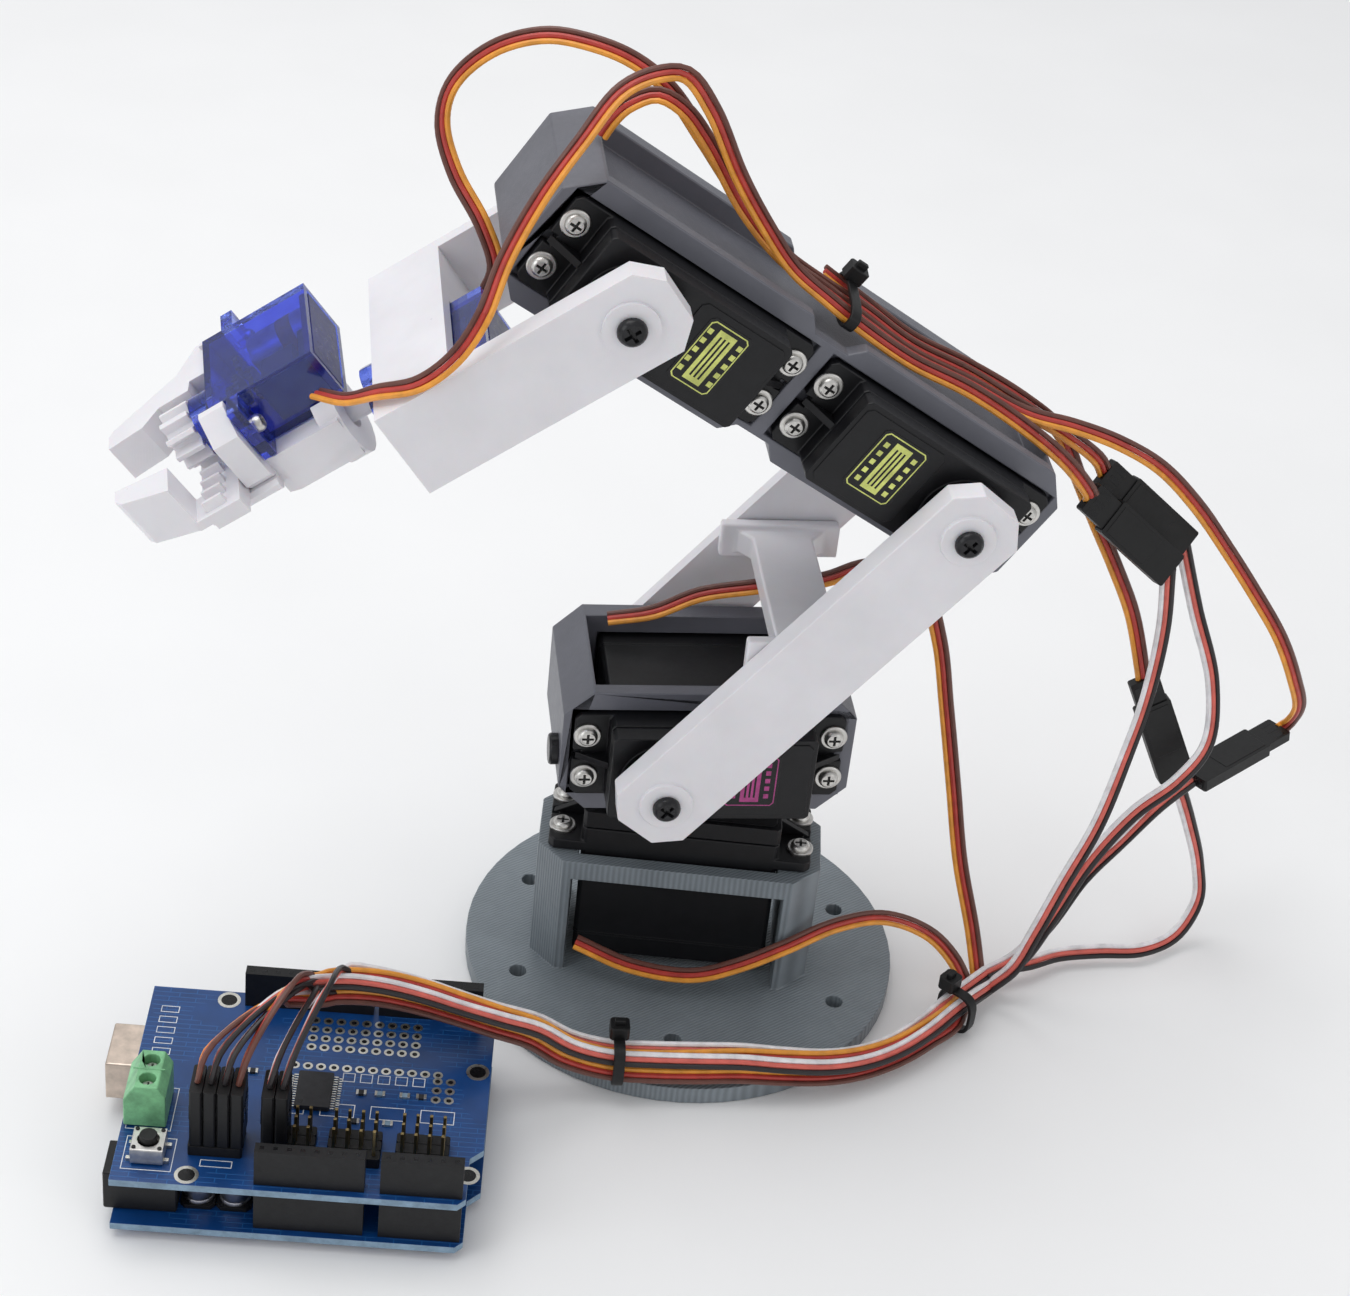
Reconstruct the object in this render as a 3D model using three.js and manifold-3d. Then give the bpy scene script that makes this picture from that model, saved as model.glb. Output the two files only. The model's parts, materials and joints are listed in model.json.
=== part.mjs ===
// Desktop robot arm: five servo axes, a rack gripper, and the controller its leads plug into.
// Millimetres. Origin: centre of the base disc's underside. +Z up, +X along the base servo,
// from its shaft end to its far end, +Y towards the back.
import * as THREE from "three";
import { mergeVertices } from "three/addons/utils/BufferGeometryUtils.js";
import Module from "manifold-3d";

const wasm = await Module();
wasm.setup();

const GAP = 0.3; // between pieces that touch
const DEG = Math.PI / 180;

// ---- driving dimensions -------------------------------------------------------------

const DISC = { radius: 45.8, thick: 4, holeRadius: 1.8, holeX: 33.5, holeY: 15, midHoleY: 31.5 };

// Standard servo. Its own frame: origin on the shaft axis, at the underside of the flange,
// +Z out of the shaft, +X from the shaft end of the body to the far end.
const SERVO = {
  shaftEnd: 10.2,
  farEnd: 30.5,
  halfWidth: 9.85,
  below: 26.8,
  above: 10.4,
  coverHeight: 4,
  flangeNear: 17.1,
  flangeFar: 37.4,
  flangeThick: 2.5,
  bossRadius: 6.8,
  bossTop: 12,
  splineRadius: 2.95,
  hornRadius: 6.8,
  hornTop: 14.9,
};

// Micro servo. Same frame rules as the standard one.
const MICRO = {
  shaftEnd: 5.9,
  farEnd: 16.6,
  halfWidth: 6.1,
  below: 15.9,
  above: 6.8,
  flangeReach: 4.85,
  flangeThick: 2.5,
  bossTop: 10.9,
  wall: 1.1,
};

// Printed housings. The servos sit in them with the flange against a seat.
const HOUSING = { half: 14.4, bevel: 5.7, floorWall: 4.1, frontRim: -14.5, back: 16.4, seat: -12.8 };
const FLANGE_Y = HOUSING.seat - GAP;
const CAGE = { left: -31.8, right: 27.2, halfDepth: 13, top: 33, bevel: 5.7 };
const BASE_SHAFT = [-12.6, 0.4];
const BASE_FLANGE_Z = CAGE.top + GAP;

// Arm links: both plates reach LINK.half either side of the line through their pivots.
const LINK = { half: 9, overrun: 8.8, bevel: 4.4 };
const FRONT_PLATE = [-31.3, -26.3];
const REAR_PLATE = [18, 21];
const SHOULDER = { x: 1, z: 64 };
const UPPER_ARM = 80.6;
const FOREARM = 78.8;

// Pose in which the part is stored.
const WAIST_TURN = 8.7 * DEG;
const UPPER_ARM_RISE = 51 * DEG;
const FOREARM_FALL = 32.7 * DEG;
const BRACKET_FALL = 35.3 * DEG;
const ROLL_TURN = 5.7 * DEG;

const BRACKET = { outer: -47.3, inner: -31.7, rollAxisY: -5.5, servoFlange: -41.1 };
const GRIP = {
  shaftY: 2.3,
  shaftZ: 11.4,
  servoFlange: -71,
  plateFront: -73.9,
  plateBack: -79.2,
  hubEnd: -57.6,
  lipTop: 2.8,
};
const PINION = { teeth: 10, pitchRadius: 5, tip: 5.9, root: 3.9, front: -82.4, back: -88.4 };

// Controller: an open board with a servo board stacked on it. Corner and turn on the table.
const BOARD = { x: -103, y: -96, turn: 1.9 * DEG, length: 68.6, width: 53.4, thick: 1.6 };
const MAIN_Z = 2;
const SHIELD_Z = 13.4;

// ---- materials ----------------------------------------------------------------------

const COLOURS = {
  greyPrint: 0x7f8588,
  whitePrint: 0xf1eff0,
  blackPlastic: 0x17181c,
  steel: 0xc9ccd1,
  blackSteel: 0x1c1d20,
  bluePlastic: 0x1c2fae,
  board: 0x123f86,
  greenPlastic: 0x6fb58d,
  leadOrange: 0xe2901f,
  leadRed: 0xa3302a,
};

const materials = Object.fromEntries(
  Object.entries(COLOURS).map(([name, color]) => [
    name,
    new THREE.MeshStandardMaterial({ name, color, roughness: 0.55 }),
  ]),
);

// ---- geometry helpers ---------------------------------------------------------------

function solid(geometry) {
  const bare = new THREE.BufferGeometry();
  const source = geometry.index ? geometry.toNonIndexed() : geometry;
  bare.setAttribute("position", source.getAttribute("position"));
  const merged = mergeVertices(bare, 1e-4);
  return new wasm.Manifold(
    new wasm.Mesh({
      numProp: 3,
      vertProperties: merged.attributes.position.array,
      triVerts: new Uint32Array(merged.index.array),
    }),
  );
}

function geometryOf(manifold) {
  const mesh = manifold.getMesh();
  const geometry = new THREE.BufferGeometry();
  const points = new Float32Array(mesh.numVert * 3);
  for (let i = 0; i < mesh.numVert; i++) {
    points.set(mesh.vertProperties.subarray(i * mesh.numProp, i * mesh.numProp + 3), i * 3);
  }
  geometry.setAttribute("position", new THREE.BufferAttribute(points, 3));
  geometry.setIndex(new THREE.BufferAttribute(mesh.triVerts, 1));
  geometry.computeVertexNormals();
  return geometry;
}

function union(...geometries) {
  return geometryOf(geometries.map(solid).reduce((a, b) => a.add(b)));
}

function cut(geometry, ...tools) {
  return geometryOf(tools.map(solid).reduce((a, b) => a.subtract(b), solid(geometry)));
}

function box([x0, x1], [y0, y1], [z0, z1]) {
  const geometry = new THREE.BoxGeometry(x1 - x0, y1 - y0, z1 - z0);
  return geometry.translate((x0 + x1) / 2, (y0 + y1) / 2, (z0 + z1) / 2);
}

// Turns a geometry built along +Z so that it runs along the named axis.
function along(axis, geometry) {
  if (axis === "x") {
    const ex = new THREE.Vector3(0, 1, 0);
    const ey = new THREE.Vector3(0, 0, 1);
    const ez = new THREE.Vector3(1, 0, 0);
    geometry.applyMatrix4(new THREE.Matrix4().makeBasis(ex, ey, ez));
  }
  if (axis === "y") {
    const ex = new THREE.Vector3(1, 0, 0);
    const ey = new THREE.Vector3(0, 0, 1);
    const ez = new THREE.Vector3(0, -1, 0);
    geometry.applyMatrix4(new THREE.Matrix4().makeBasis(ex, ey, ez));
  }
  return geometry;
}

// A flat outline given a depth from lo to hi on an axis. The outline's two coordinates are
// (x, y) for z, (y, z) for x and (x, z) for y.
function prism(axis, outline, [lo, hi]) {
  const shape = new THREE.Shape(outline.map(([u, v]) => new THREE.Vector2(u, v)));
  const geometry = new THREE.ExtrudeGeometry(shape, { depth: hi - lo, bevelEnabled: false });
  const start = axis === "y" ? -hi : lo;
  return along(axis, geometry.translate(0, 0, start));
}

function rod(axis, radius, [lo, hi], [u, v], segments = 20) {
  const outline = [];
  for (let i = 0; i < segments; i++) {
    const angle = (2 * Math.PI * (i + 0.5)) / segments;
    outline.push([u + radius * Math.cos(angle), v + radius * Math.sin(angle)]);
  }
  return prism(axis, outline, [lo, hi]);
}

// Rectangle with its four corners cut at 45 degrees.
function bevelled([u0, u1], [v0, v1], bevel) {
  return [
    [u0 + bevel, v0],
    [u1 - bevel, v0],
    [u1, v0 + bevel],
    [u1, v1 - bevel],
    [u1 - bevel, v1],
    [u0 + bevel, v1],
    [u0, v1 - bevel],
    [u0, v0 + bevel],
  ];
}

function mesh(name, geometry, material) {
  const made = new THREE.Mesh(geometry, materials[material]);
  made.name = name;
  return made;
}

function frame(parent, [x, y, z], [rx, ry, rz] = [0, 0, 0]) {
  const group = new THREE.Group();
  group.position.set(x, y, z);
  group.rotation.set(rx, ry, rz);
  parent.add(group);
  return group;
}

// ---- standard servo -----------------------------------------------------------------

function servoCase() {
  const width = [-SERVO.halfWidth, SERVO.halfWidth];
  const body = prism(
    "z",
    bevelled([-SERVO.shaftEnd, SERVO.farEnd], width, 0.8),
    [-SERVO.below, SERVO.above - SERVO.coverHeight - GAP],
  );
  const flange = prism(
    "z",
    bevelled([-SERVO.flangeNear, SERVO.flangeFar], width, 1.2),
    [0, SERVO.flangeThick],
  );
  const slots = [-SERVO.flangeNear, SERVO.flangeFar].map((end) =>
    box([end - 1.6, end + 1.6], [-1.1, 1.1], [-1, SERVO.flangeThick + 1]),
  );
  return cut(union(body, flange), ...slots);
}

function servoCover() {
  const bottom = SERVO.above - SERVO.coverHeight;
  const lid = prism(
    "z",
    bevelled([-SERVO.shaftEnd, SERVO.farEnd], [-SERVO.halfWidth, SERVO.halfWidth], 0.8),
    [bottom, SERVO.above],
  );
  const boss = rod("z", SERVO.bossRadius, [bottom, SERVO.bossTop], [0, 0]);
  const shaftHole = rod("z", SERVO.splineRadius + GAP, [bottom + 1, 20], [0, 0]);
  return cut(union(lid, boss), shaftHole);
}

// Output spline with the round horn on it, and the pan-head screw that clamps the link.
function servoHorn(screwTop) {
  const spline = rod("z", SERVO.splineRadius, [7.8, SERVO.bossTop + 1], [0, 0]);
  const disc = rod("z", SERVO.hornRadius, [SERVO.bossTop + GAP, SERVO.hornTop], [0, 0]);
  if (!screwTop) return union(spline, disc);
  const shank = rod("z", 1.3, [SERVO.hornTop - 1, screwTop - 1], [0, 0], 12);
  const head = rod("z", 2.8, [screwTop - 1.4, screwTop], [0, 0], 16);
  return union(spline, disc, shank, head);
}

function addServo(parent, name) {
  parent.add(mesh(name + "_servo_case", servoCase(), "blackPlastic"));
  parent.add(mesh(name + "_servo_cover", servoCover(), "blackPlastic"));
}

// ---- micro servo --------------------------------------------------------------------

// Clear case: a shell open at the bottom, with the flange and the round gearbox boss.
function microCase() {
  const width = [-MICRO.halfWidth, MICRO.halfWidth];
  const ends = [-MICRO.shaftEnd, MICRO.farEnd];
  const body = box(ends, width, [-MICRO.below, MICRO.above]);
  const flange = box(
    [ends[0] - MICRO.flangeReach, ends[1] + MICRO.flangeReach],
    width,
    [0, MICRO.flangeThick],
  );
  const boss = rod("z", 5.85, [0, MICRO.bossTop], [0, 0]);
  const smallBoss = rod("z", 2.8, [0, MICRO.bossTop], [6, 0], 16);
  const inside = box(
    [ends[0] + MICRO.wall, ends[1] - MICRO.wall],
    [width[0] + MICRO.wall, width[1] - MICRO.wall],
    [-20, MICRO.above - MICRO.wall],
  );
  const shaftHole = rod("z", 2.7, [0, 20], [0, 0], 16);
  const holes = [ends[0] - 2.4, ends[1] + 2.4].map((x) => rod("z", 1, [-1, 4], [x, 0], 12));
  return cut(union(body, flange, boss, smallBoss), inside, shaftHole, ...holes);
}

// Motor, circuit board and gear stack, standing on the bottom cover that closes the case.
function microDrive() {
  const side = MICRO.halfWidth - MICRO.wall - GAP;
  const x0 = -MICRO.shaftEnd + MICRO.wall + GAP;
  const x1 = MICRO.farEnd - MICRO.wall - GAP;
  const cover = box([x0, x1], [-side, side], [-MICRO.below, -MICRO.below + 2]);
  const motor = rod("z", 4.4, [-MICRO.below + 1, -1.5], [10, 0], 16);
  const board = box([x0 + 0.5, x0 + 2], [-side, side], [-MICRO.below + 1, -2]);
  const gears = box([x0 + 1, x1 - 1], [-3.6, 3.6], [-3, 3.5]);
  const shaft = rod("z", 2.3, [3, 5.2], [0, 0], 12);
  return union(cover, motor, board, gears, shaft);
}

function addMicroServo(parent, name) {
  parent.add(mesh(name + "_servo_case", microCase(), "bluePlastic"));
  parent.add(mesh(name + "_servo_drive", microDrive(), "steel"));
}

// ---- base ---------------------------------------------------------------------------

function baseHousing() {
  const disc = rod("z", DISC.radius, [0, DISC.thick], [0, 0], 64);
  const depth = [-CAGE.halfDepth, CAGE.halfDepth];
  const outline = bevelled([CAGE.left, CAGE.right], depth, CAGE.bevel);
  const cage = prism("z", outline, [DISC.thick - 1, CAGE.top]);
  const [shaftX, shaftY] = BASE_SHAFT;
  const room = 0.35;
  const bodyRoom = box(
    [shaftX - SERVO.shaftEnd - room, shaftX + SERVO.farEnd + room],
    [shaftY - SERVO.halfWidth - room, shaftY + SERVO.halfWidth + room],
    [BASE_FLANGE_Z - SERVO.below - room, 50],
  );
  const windows = box([-24.2, 19.9], [-30, 30], [DISC.thick, 28.4]);
  const holes = [];
  for (const side of [-1, 1]) {
    for (const end of [-1, 1]) {
      holes.push([end * DISC.holeX, side * DISC.holeY]);
    }
    holes.push([0, side * DISC.midHoleY]);
  }
  const drills = holes.map((at) => rod("z", DISC.holeRadius, [-1, 9], at, 16));
  return cut(union(disc, cage), bodyRoom, windows, ...drills);
}

function buildBase(parent) {
  const base = frame(parent, [0, 0, 0]);
  base.add(mesh("base_housing", baseHousing(), "greyPrint"));
  addServo(frame(base, [...BASE_SHAFT, BASE_FLANGE_Z]), "base");
  return base;
}

// ---- housings with a servo facing the front -------------------------------------------

// Room for one servo in a housing, seen from the front: x of the shaft, and the way the
// body runs from it (+1 or -1).
function servoRoom(shaftX, way, z = 0) {
  const span = (near, far) => [shaftX - way * near, shaftX + way * far].sort((a, b) => a - b);
  const side = SERVO.halfWidth + 0.35;
  const deep = FLANGE_Y + SERVO.below + 0.35;
  return [
    box(span(SERVO.shaftEnd + 0.35, SERVO.farEnd + 0.35), [-30, deep], [z - side, z + side]),
    box(
      span(SERVO.flangeNear + 0.35, SERVO.flangeFar + 0.35),
      [-30, HOUSING.seat],
      [z - side, z + side],
    ),
  ];
}

// Round boss on the back wall, bored for the rear pivot screw.
function backBoss([x, z]) {
  return rod("y", 5.4, [HOUSING.back - 0.5, REAR_PLATE[0] - GAP], [x, z]);
}

function pivotBore([x, z]) {
  return rod("y", 1.8, [HOUSING.back - 1.6, 30], [x, z], 16);
}

function turretHousing() {
  const left = SHOULDER.x - SERVO.flangeNear - 2.2;
  const right = SHOULDER.x + SERVO.flangeFar + 2.2;
  const height = [SHOULDER.z - HOUSING.half, SHOULDER.z + HOUSING.half];
  const shell = prism(
    "y",
    bevelled([left, right], height, HOUSING.bevel),
    [HOUSING.frontRim, HOUSING.back],
  );
  const window = box([left + 6.2, right - 6.2], [-11.5, 12.3], [SHOULDER.z, 90]);
  const pedestal = rod("z", 11, [BASE_FLANGE_Z + SERVO.bossTop + GAP + 0.3, height[0] + 1], [0, 0], 28);
  const hornPocket = rod("z", SERVO.hornRadius + 0.4, [40, BASE_FLANGE_Z + SERVO.hornTop + GAP], [0, 0]);
  const pivot = [SHOULDER.x, SHOULDER.z];
  return cut(
    union(shell, pedestal, backBoss(pivot)),
    ...servoRoom(SHOULDER.x, 1, SHOULDER.z),
    window,
    hornPocket,
    pivotBore(pivot),
  );
}

function buildTurret(base) {
  const turret = frame(base, [...BASE_SHAFT, 0], [0, 0, WAIST_TURN]);
  turret.add(mesh("turret_housing", turretHousing(), "greyPrint"));
  turret.add(mesh("waist_horn", servoHorn().translate(0, 0, BASE_FLANGE_Z), "steel"));
  const seat = frame(turret, [SHOULDER.x, FLANGE_Y, SHOULDER.z], [Math.PI / 2, 0, 0]);
  addServo(seat, "shoulder");
  return turret;
}

// ---- upper arm ------------------------------------------------------------------------

const SCREW_TOP = FLANGE_Y - (FRONT_PLATE[0] - 0.8 - GAP - 1.4);

// Horn and clamping screw of a servo that faces the front, on its shaft axis.
function frontHorn(name, x) {
  const geometry = along("y", servoHorn(SCREW_TOP)).translate(x, FLANGE_Y, 0);
  return mesh(name, geometry, "blackSteel");
}

function linkOutline(from, to) {
  const run = [from - LINK.overrun, to + LINK.overrun];
  return bevelled(run, [-LINK.half, LINK.half], LINK.bevel);
}

// Front link plate: raised ring round each screw, and a pocket behind it for the horn.
function frontPlateParts(pivots) {
  const [outer, inner] = FRONT_PLATE;
  const rings = pivots.map((x) => rod("y", 5.3, [outer - 0.8, outer + 1], [x, 0]));
  const cuts = pivots.flatMap((x) => [
    rod("y", SERVO.hornRadius + 0.4, [FLANGE_Y - SERVO.hornTop - GAP, inner + 1], [x, 0]),
    rod("y", 1.7, [outer - 5, inner], [x, 0], 12),
  ]);
  return { rings, cuts };
}

function rearPlateCuts(pivots) {
  return pivots.map((x) => rod("y", 1.8, [REAR_PLATE[0] - 1, REAR_PLATE[1] + 1], [x, 0], 16));
}

function armBrace() {
  const middle = UPPER_ARM / 2;
  const front = FRONT_PLATE[1] + GAP;
  const rear = REAR_PLATE[0] - GAP;
  const foot = (span) => box([-12.2, 12.2], span, [-3.8, 3.8]);
  const stem = box([-6.2, 6.2], [front + 1, rear - 1], [-2.6, 2.6]);
  const taper = prism(
    "z",
    [
      [-9.5, rear - 2],
      [-6.2, rear - 5.5],
      [6.2, rear - 5.5],
      [9.5, rear - 2],
    ],
    [-2.6, 2.6],
  );
  const brace = union(foot([front, front + 2.6]), foot([rear - 2.6, rear]), stem, taper);
  return brace.rotateY(UPPER_ARM_RISE).translate(middle, 0, 0);
}

function rearScrew() {
  const shank = rod("y", 1.5, [HOUSING.back - 1.2, REAR_PLATE[1] + 1], [0, 0], 16);
  const head = rod("y", 2.9, [REAR_PLATE[1] + GAP, REAR_PLATE[1] + 2.1], [0, 0], 16);
  return union(shank, head);
}

function addRearScrew(parent, name, x) {
  parent.add(mesh(name, rearScrew().translate(x, 0, 0), "blackSteel"));
}

function buildUpperArm(turret) {
  const arm = frame(turret, [SHOULDER.x, 0, SHOULDER.z], [0, -UPPER_ARM_RISE, 0]);
  const pivots = [0, UPPER_ARM];
  const outline = linkOutline(...pivots);
  const { rings, cuts } = frontPlateParts(pivots);
  const front = cut(union(prism("y", outline, FRONT_PLATE), ...rings), ...cuts);
  const rear = cut(prism("y", outline, REAR_PLATE), ...rearPlateCuts(pivots));
  arm.add(mesh("upper_arm_plate_front", front, "whitePrint"));
  arm.add(mesh("upper_arm_plate_rear", rear, "whitePrint"));
  arm.add(mesh("arm_brace", armBrace(), "whitePrint"));
  arm.add(frontHorn("shoulder_horn", 0));
  arm.add(frontHorn("elbow_horn", UPPER_ARM));
  addRearScrew(arm, "shoulder_rear_screw", 0);
  addRearScrew(arm, "elbow_rear_screw", UPPER_ARM);
  return arm;
}

// ---- forearm ----------------------------------------------------------------------------
// Its own frame: origin on the elbow axis, +X from the wrist axis towards the elbow axis.

function forearmHousing() {
  const end = SERVO.flangeNear + 2.8;
  const x0 = -FOREARM - end;
  const x1 = end;
  const h = HOUSING.half;
  const b = HOUSING.bevel;
  const dip = h - 2.8;
  const top = [
    [x1, h - b],
    [x1 - b, h],
    [-33, h],
    [-35.6, dip],
    [-43.2, dip],
    [-45.8, h],
    [x0 + b, h],
    [x0, h - b],
  ];
  const bottom = top.map(([x, z]) => [x, -z]).reverse();
  const shell = prism("y", [...top, ...bottom], [HOUSING.frontRim, HOUSING.back]);
  const slot = box([x0 + 6.4, x1 - 6.4], [-11.3, 12.3], [10.4, 30]);
  const pivots = [
    [0, 0],
    [-FOREARM, 0],
  ];
  return cut(
    union(shell, ...pivots.map(backBoss)),
    ...servoRoom(0, -1),
    ...servoRoom(-FOREARM, 1),
    slot,
    ...pivots.map(pivotBore),
  );
}

function buildForearm(arm) {
  const turn = UPPER_ARM_RISE + FOREARM_FALL;
  const forearm = frame(arm, [UPPER_ARM, 0, 0], [0, turn, 0]);
  forearm.add(mesh("forearm_housing", forearmHousing(), "greyPrint"));
  addServo(frame(forearm, [0, FLANGE_Y, 0], [Math.PI / 2, 0, Math.PI]), "elbow");
  addServo(frame(forearm, [-FOREARM, FLANGE_Y, 0], [Math.PI / 2, 0, 0]), "wrist");
  return forearm;
}

// ---- wrist bracket ------------------------------------------------------------------------
// Its own frame: origin on the wrist axis, +X from the gripper towards the wrist axis.

function wristBracket() {
  const outline = bevelled([BRACKET.outer, LINK.overrun + 1], [-LINK.half, LINK.half], LINK.bevel);
  const squared = [
    [BRACKET.outer, -LINK.half],
    ...outline.slice(1, 5),
    [BRACKET.outer, LINK.half],
  ];
  const block = box(
    [BRACKET.outer, BRACKET.inner],
    [FRONT_PLATE[1] - 1, REAR_PLATE[0] + 1],
    [-LINK.half, LINK.half],
  );
  const { rings, cuts } = frontPlateParts([0]);
  const plates = [prism("y", squared, FRONT_PLATE), prism("y", squared, REAR_PLATE)];
  const y = BRACKET.rollAxisY;
  const side = MICRO.halfWidth + 0.35;
  const bodyRoom = box(
    [-60, -20],
    [y - MICRO.farEnd - 0.35, y + MICRO.shaftEnd + 0.35],
    [-side, side],
  );
  const reach = MICRO.flangeReach + 0.35;
  const flangeRoom = box(
    [-60, BRACKET.servoFlange + GAP],
    [y - MICRO.farEnd - reach, y + MICRO.shaftEnd + reach],
    [-side, side],
  );
  return cut(union(block, ...plates, ...rings), bodyRoom, flangeRoom, ...cuts, ...rearPlateCuts([0]));
}

function buildWrist(forearm) {
  const turn = -BRACKET_FALL - FOREARM_FALL;
  const wrist = frame(forearm, [-FOREARM, 0, 0], [0, turn, 0]);
  wrist.add(mesh("wrist_bracket", wristBracket(), "whitePrint"));
  wrist.add(frontHorn("wrist_horn", 0));
  addRearScrew(wrist, "wrist_rear_screw", 0);
  addMicroServo(microSeat(wrist, BRACKET.servoFlange, BRACKET.rollAxisY, 0, -1), "roll");
  return wrist;
}

// A micro servo whose shaft points along -X, at the given flange position. Its body runs
// from the shaft towards +Y (way 1) or -Y (way -1).
function microSeat(parent, x, y, z, way) {
  const seat = frame(parent, [x, y, z]);
  const bodyWay = new THREE.Vector3(0, way, 0);
  const shaftWay = new THREE.Vector3(-1, 0, 0);
  const third = new THREE.Vector3().crossVectors(shaftWay, bodyWay);
  seat.quaternion.setFromRotationMatrix(
    new THREE.Matrix4().makeBasis(bodyWay, third, shaftWay),
  );
  return seat;
}

// ---- gripper --------------------------------------------------------------------------------
// Its own frame: +X along the roll axis towards the wrist, origin level with the wrist axis.

const FIXED_FINGER_Z = [7.6, 15.8];

function gripperFrame() {
  const plateOutline = bevelled([-10, 22.5], [-1.4, 18], 4.5);
  const gearRoom = box([-90, -60], [-4, 19.3], [5, 30]);
  const plate = cut(prism("x", plateOutline, [GRIP.plateBack, GRIP.plateFront]), gearRoom);
  const floor = prism("x", bevelled([-10, 22.5], [-1.4, 1.2], 0.8), [-89, GRIP.plateFront]);
  const lip = box([-89, -86.9], [-9.5, 22], [-1, GRIP.lipTop]);
  const hub = rod("x", 8.5, [-62, GRIP.hubEnd], [0, 0]);
  const neck = prism(
    "z",
    [
      [GRIP.hubEnd - 0.5, -8],
      [GRIP.hubEnd - 0.5, 7],
      [-72, 14],
      [-74.5, 14],
      [-74.5, -7],
      [-72, -8],
    ],
    [-4.4, 4.8],
  );
  const finger = prism(
    "z",
    [
      [-78, 22],
      [-80.5, 21.4],
      [-85, 15.9],
      [-99.4, 9.8],
      [-100.5, 8.4],
      [-100.5, 4.8],
      [-93, 5.6],
      [-89.2, 8.8],
      [-82.6, 9],
      [-82.2, 11.6],
      [-78, 11.6],
    ],
    FIXED_FINGER_Z,
  );
  const servoRoomAbove = box([-78.1, -50], [-4, 19.3], [5, 30]);
  const hornPocket = rod("x", 3.4, [GRIP.hubEnd - 1.6, -50], [0, 0], 16);
  return cut(
    union(plate, floor, lip, hub, neck, finger),
    servoRoomAbove,
    hornPocket,
  );
}

// Gear outline with straight-sided teeth, a tooth gap pointing down at the rack tooth.
function pinionOutline() {
  const outline = [];
  const step = (2 * Math.PI) / PINION.teeth;
  for (let i = 0; i < PINION.teeth; i++) {
    const middle = -Math.PI / 2 + step * (i + 0.5);
    for (const [radius, offset] of [
      [PINION.root, -0.2],
      [PINION.tip, -0.09],
      [PINION.tip, 0.09],
      [PINION.root, 0.2],
    ]) {
      const angle = middle + offset;
      outline.push([
        GRIP.shaftY + radius * Math.cos(angle),
        GRIP.shaftZ + radius * Math.sin(angle),
      ]);
    }
  }
  return outline;
}

function gripperPinion() {
  const gear = prism("x", pinionOutline(), [PINION.back, PINION.front]);
  const stub = rod("x", 2.2, [PINION.front - 1, -77.2], [GRIP.shaftY, GRIP.shaftZ], 16);
  return union(gear, stub);
}

// Sliding jaw: a rack bar in the frame's channel. The moving finger stands in front of the
// pinion and joins the bar over the lip of the channel.
function slidingJaw() {
  const pitchZ = GRIP.shaftZ - PINION.pitchRadius;
  const root = pitchZ - 1.25;
  const bar = box([-86.6, -79.6], [-15.2, 20.5], [1.5, root]);
  const pitch = (2 * Math.PI * PINION.pitchRadius) / PINION.teeth;
  const teeth = [];
  for (let i = -5; i <= 5; i++) {
    const y = GRIP.shaftY + i * pitch;
    teeth.push(
      prism(
        "x",
        [
          [y - 0.85, root - 0.5],
          [y + 0.85, root - 0.5],
          [y + 0.3, pitchZ + 0.8],
          [y - 0.3, pitchZ + 0.8],
        ],
        [-86.6, -82.4],
      ),
    );
  }
  const underside = GRIP.lipTop + GAP;
  const bridge = box([-89.5, -86], [-15.2, -8.2], [underside, root]);
  const finger = prism(
    "z",
    [
      [-88.9, -15.2],
      [-88.9, -8.2],
      [-100.5, -6.5],
      [-100.5, -9.8],
      [-99.2, -11.4],
    ],
    [underside, 14.2],
  );
  return union(bar, ...teeth, bridge, finger);
}

function buildGripper(wrist) {
  const roll = frame(wrist, [0, BRACKET.rollAxisY, 0], [ROLL_TURN, 0, 0]);
  roll.add(mesh("gripper_frame", gripperFrame(), "whitePrint"));
  roll.add(mesh("roll_horn", rod("x", 2.2, [GRIP.hubEnd - 1.3, -48.7], [0, 0], 16), "whitePrint"));
  roll.add(mesh("gripper_pinion", gripperPinion(), "whitePrint"));
  roll.add(mesh("sliding_jaw", slidingJaw(), "whitePrint"));
  addMicroServo(microSeat(roll, GRIP.servoFlange, GRIP.shaftY, GRIP.shaftZ, 1), "gripper");
}

// ---- controller -------------------------------------------------------------------------------
// Its own frame: origin at the boards' front left corner, on the table.

const HEADER_SPANS = { rear: [[18.6, 44.2], [45.2, 65.7]], front: [[26.6, 47.1], [50, 65.4]] };
const HEADER_ROWS = { rear: 50.8, front: 2.6 };

// Four socket strips standing on a board, along its front and rear edges.
function socketStrips(z0, z1) {
  return ["rear", "front"].flatMap((row) =>
    HEADER_SPANS[row].map((span) =>
      box(span, [HEADER_ROWS[row] - 1.27, HEADER_ROWS[row] + 1.27], [z0, z1]),
    ),
  );
}

function boardPlate(z) {
  const outline = [
    [0, 0],
    [BOARD.length - 4, 0],
    [BOARD.length - 2.5, 1.5],
    [BOARD.length - 2.5, 12],
    [BOARD.length, 14.5],
    [BOARD.length, BOARD.width - 4],
    [BOARD.length - 2.5, BOARD.width - 1.5],
    [BOARD.length - 2.5, BOARD.width],
    [0, BOARD.width],
  ];
  const holes = [
    [14, 2.6],
    [15.3, 50.8],
    [66, 7.6],
    [66, 35.5],
  ].map((at) => rod("z", 1.6, [z - 1, z + 9], at, 12));
  return cut(prism("z", outline, [z, z + BOARD.thick]), ...holes);
}

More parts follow.
